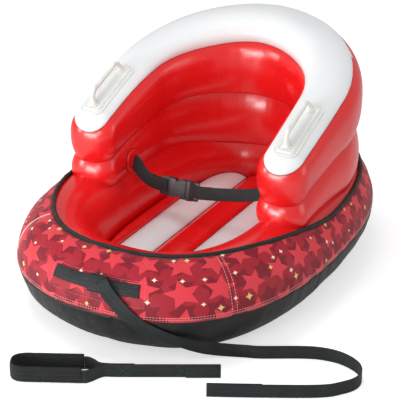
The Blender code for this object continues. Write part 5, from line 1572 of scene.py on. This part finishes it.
def padded_sleeve():
    """Padded loop at the strap's end, quilted in four lengthwise rolls."""
    half = GRIP_WIDTH / 2
    straight = GRIP_LENGTH - GRIP_END
    route = [(straight * k / 8, -half) for k in range(8)]
    for k in range(25):
        x, y = superellipse(-np.pi / 2 + np.pi * k / 24, GRIP_END, half, 2.6)
        route.append((straight + float(x), float(y)))
    route += [(straight * k / 8, half) for k in range(7, -1, -1)]
    points = resample([grip_place(a, b, GRIP_HEIGHT / 2 + GAP) for a, b in route], 0.0028)
    v = np.linspace(-1, 1, 41)
    seams = (-0.5, 0.0, 0.5)
    rolls = 1 - 0.5 * sum(bell(v - c, 0.055) for c in seams)
    thick = (1 - np.abs(v) ** 5) ** 0.5 * rolls * GRIP_THICK * 0.55
    outline = both_faces(v * GRIP_HEIGHT / 2, np.maximum(thick, 0.0))
    aside = sideways(points)
    run = lengths(points)
    total = run[-1]
    from_end = np.minimum(run, total - run)
    flare = 1 + 0.14 * bell(from_end - 0.006, 0.006) - 0.35 * bell(from_end, 0.0022)
    pinch = 1 - 0.10 * folds_along(total, spacing=0.009, seed=77)(run)
    height = 1 - 0.02 * folds_along(total, spacing=0.012, seed=78)(run)
    grid = points[:, None] + aside[:, None] * (outline[None, :, 1:] * (flare * pinch)[:, None, None])
    grid = grid + UP * outline[None, :, :1] * height[:, None, None]
    sleeve = add_grid(
        "padded_grip", grid, SLEEVE, loop_columns=True, spots=map_grid(run, outline[:, 0]), caps=True,
        replaces=("pull_grip",)
    )
    rows = Stitches("padded_grip_stitches", GREY_THREAD, GRIP_STITCH)
    for c in seams:
        out = float(np.interp(c, v, thick)) + 0.0002
        for face in (1, -1):
            rows.row(points + UP * c * GRIP_HEIGHT / 2 + aside * face * out, aside * face)
    return sleeve, rows.made()


def pull_strap():
    """The loose strap: one leg runs on to the folded end, the other is sewn to it past the fork."""
    main = resample(PULL_ROUTE, 0.008)
    points = resample(np.vstack([fork_points(-1), main]), 0.008)
    strap = tow_ribbon("pull_webbing", points, replaces=("pull_strap",))
    layer = tow_ribbon("pull_webbing_fold", folded_end(points, PULL_FOLD))
    second = (main - sideways(main) * (TOW_THICK + FOLD_GAP))[lengths(main) <= PULL_RETURN]
    leg = np.vstack([fork_points(1), second[1:]])
    leg = tow_ribbon("pull_webbing_return", leg, replaces=("pull_return",))
    sleeve, quilting = padded_sleeve()
    rows = Stitches("pull_webbing_stitches", GREY_THREAD, STRAP_STITCH)
    spots = resample(main, 0.002)
    run = lengths(spots)
    for low, high in (PULL_BOX, run[-1] - np.array(PULL_END_BOX)):
        line = spots[(run >= low) & (run <= high)]
        sewn_box(rows, line, sideways(line))
    declare_cord(points, (layer, leg, sleeve, quilting, rows.made()))


tow_strap()
pull_strap()


# Moulded parts keep their own solids
def dress(node, material, bevel):
    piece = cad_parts[node]
    for slot in piece.material_slots:
        slot.material = material
    soft = piece.modifiers.new("soft_edges", "BEVEL")
    soft.width = bevel
    soft.segments = 2
    soft.limit_method = "ANGLE"
    soft.angle_limit = math.radians(35)
    soft.harden_normals = True


for node in ("buckle_socket", "buckle_plug", "buckle_prong_upper", "buckle_prong_lower"):
    dress(node, ACETAL, 0.0002)
for node in ("base_valve_body", "base_valve_cap", "back_valve_body", "back_valve_cap"):
    dress(node, VALVE, 0.0003)


# Studio: pale floor, soft lamps and a white surround
FLOOR_SIZE = 6
FLOOR_PALE = (0.84, 0.84, 0.84, 1.0)
FLOOR_GLOW = 0.54
WORLD_LIGHT = 0.45
PURE_WHITE = (1.0, 1.0, 1.0, 1.0)
LAMP_TARGET = (0.0, 0.0, 0.20)


def add_floor():
    """A pale floor that the camera sees a little brighter, so that it meets the white surround."""
    mesh = bpy.data.meshes.new("studio_floor")
    corners = [(u * FLOOR_SIZE, v * FLOOR_SIZE, 0) for u, v in ((-1, -1), (1, -1), (1, 1), (-1, 1))]
    mesh.from_pydata(corners, [], [(0, 1, 2, 3)])
    floor = bpy.data.objects.new("studio_floor", mesh)
    bpy.context.scene.collection.objects.link(floor)
    s = Shader("studio_floor", 0.8, Base_Color=FLOOR_PALE, Specular_IOR_Level=0.1)
    seen = s.node("LightPath", output="Is Camera Ray")
    glow = s.node("Emission", {"Strength": s.times(seen, FLOOR_GLOW)})
    both = s.node("AddShader", {0: s.surface.outputs[0], 1: glow})
    s.put(s.tree.nodes["Material Output"], "Surface", both)
    mesh.materials.append(s.material)
    floor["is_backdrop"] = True


def softbox(name, turn, rise, distance, width, height, power, shines=True):
    """An area lamp placed by its angles from the camera's side; shines shows it in glossy surfaces."""
    direction = view_axes(CAMERA_TURN + math.radians(turn), math.radians(rise))[0]
    data = bpy.data.lights.new(name, "AREA")
    data.shape = "RECTANGLE"
    data.size = width
    data.size_y = height
    data.energy = power
    lamp = bpy.data.objects.new(name, data)
    lamp.location = Vector(LAMP_TARGET) + direction * distance
    lamp.visible_glossy = shines
    lamp.rotation_euler = direction.to_track_quat("Z", "Y").to_euler()
    bpy.context.scene.collection.objects.link(lamp)


def add_world():
    """Plain light all round, and pure white where the camera sees past the floor."""
    world = bpy.data.worlds.new("studio")
    world.use_nodes = True
    bpy.context.scene.world = world
    nodes, links = world.node_tree.nodes, world.node_tree.links
    light, white = nodes["Background"], nodes.new("ShaderNodeBackground")
    light.inputs["Strength"].default_value = WORLD_LIGHT
    for background in (light, white):
        background.inputs["Color"].default_value = PURE_WHITE
    mix = nodes.new("ShaderNodeMixShader")
    links.new(nodes.new("ShaderNodeLightPath").outputs["Is Camera Ray"], mix.inputs[0])
    links.new(light.outputs[0], mix.inputs[1])
    links.new(white.outputs[0], mix.inputs[2])
    links.new(mix.outputs[0], nodes["World Output"].inputs["Surface"])


add_floor()
add_world()
# Turn, rise, distance, width, height and watts
softbox("lamp_left", -82, 9, 2.4, 0.34, 0.54, 8)
softbox("lamp_front_left", -49, 4, 2.4, 1.40, 0.42, 26)
softbox("lamp_front_low", -29, 15, 2.4, 0.50, 0.30, 5)
softbox("lamp_front", 0, 44, 2.6, 1.6, 1.2, 5, False)
softbox("lamp_top", -105, 78, 2.6, 1.4, 1.4, 23, False)
softbox("wall_right", 66, 18, 3.2, 2.4, 1.8, 16)


def as_list(value):
    if hasattr(value, "__len__") and not isinstance(value, (str, bytes)):
        return [as_list(v) for v in value]
    return float(value)


{"cad": as_list(CAD_BOX), "visual": as_list(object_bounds())}
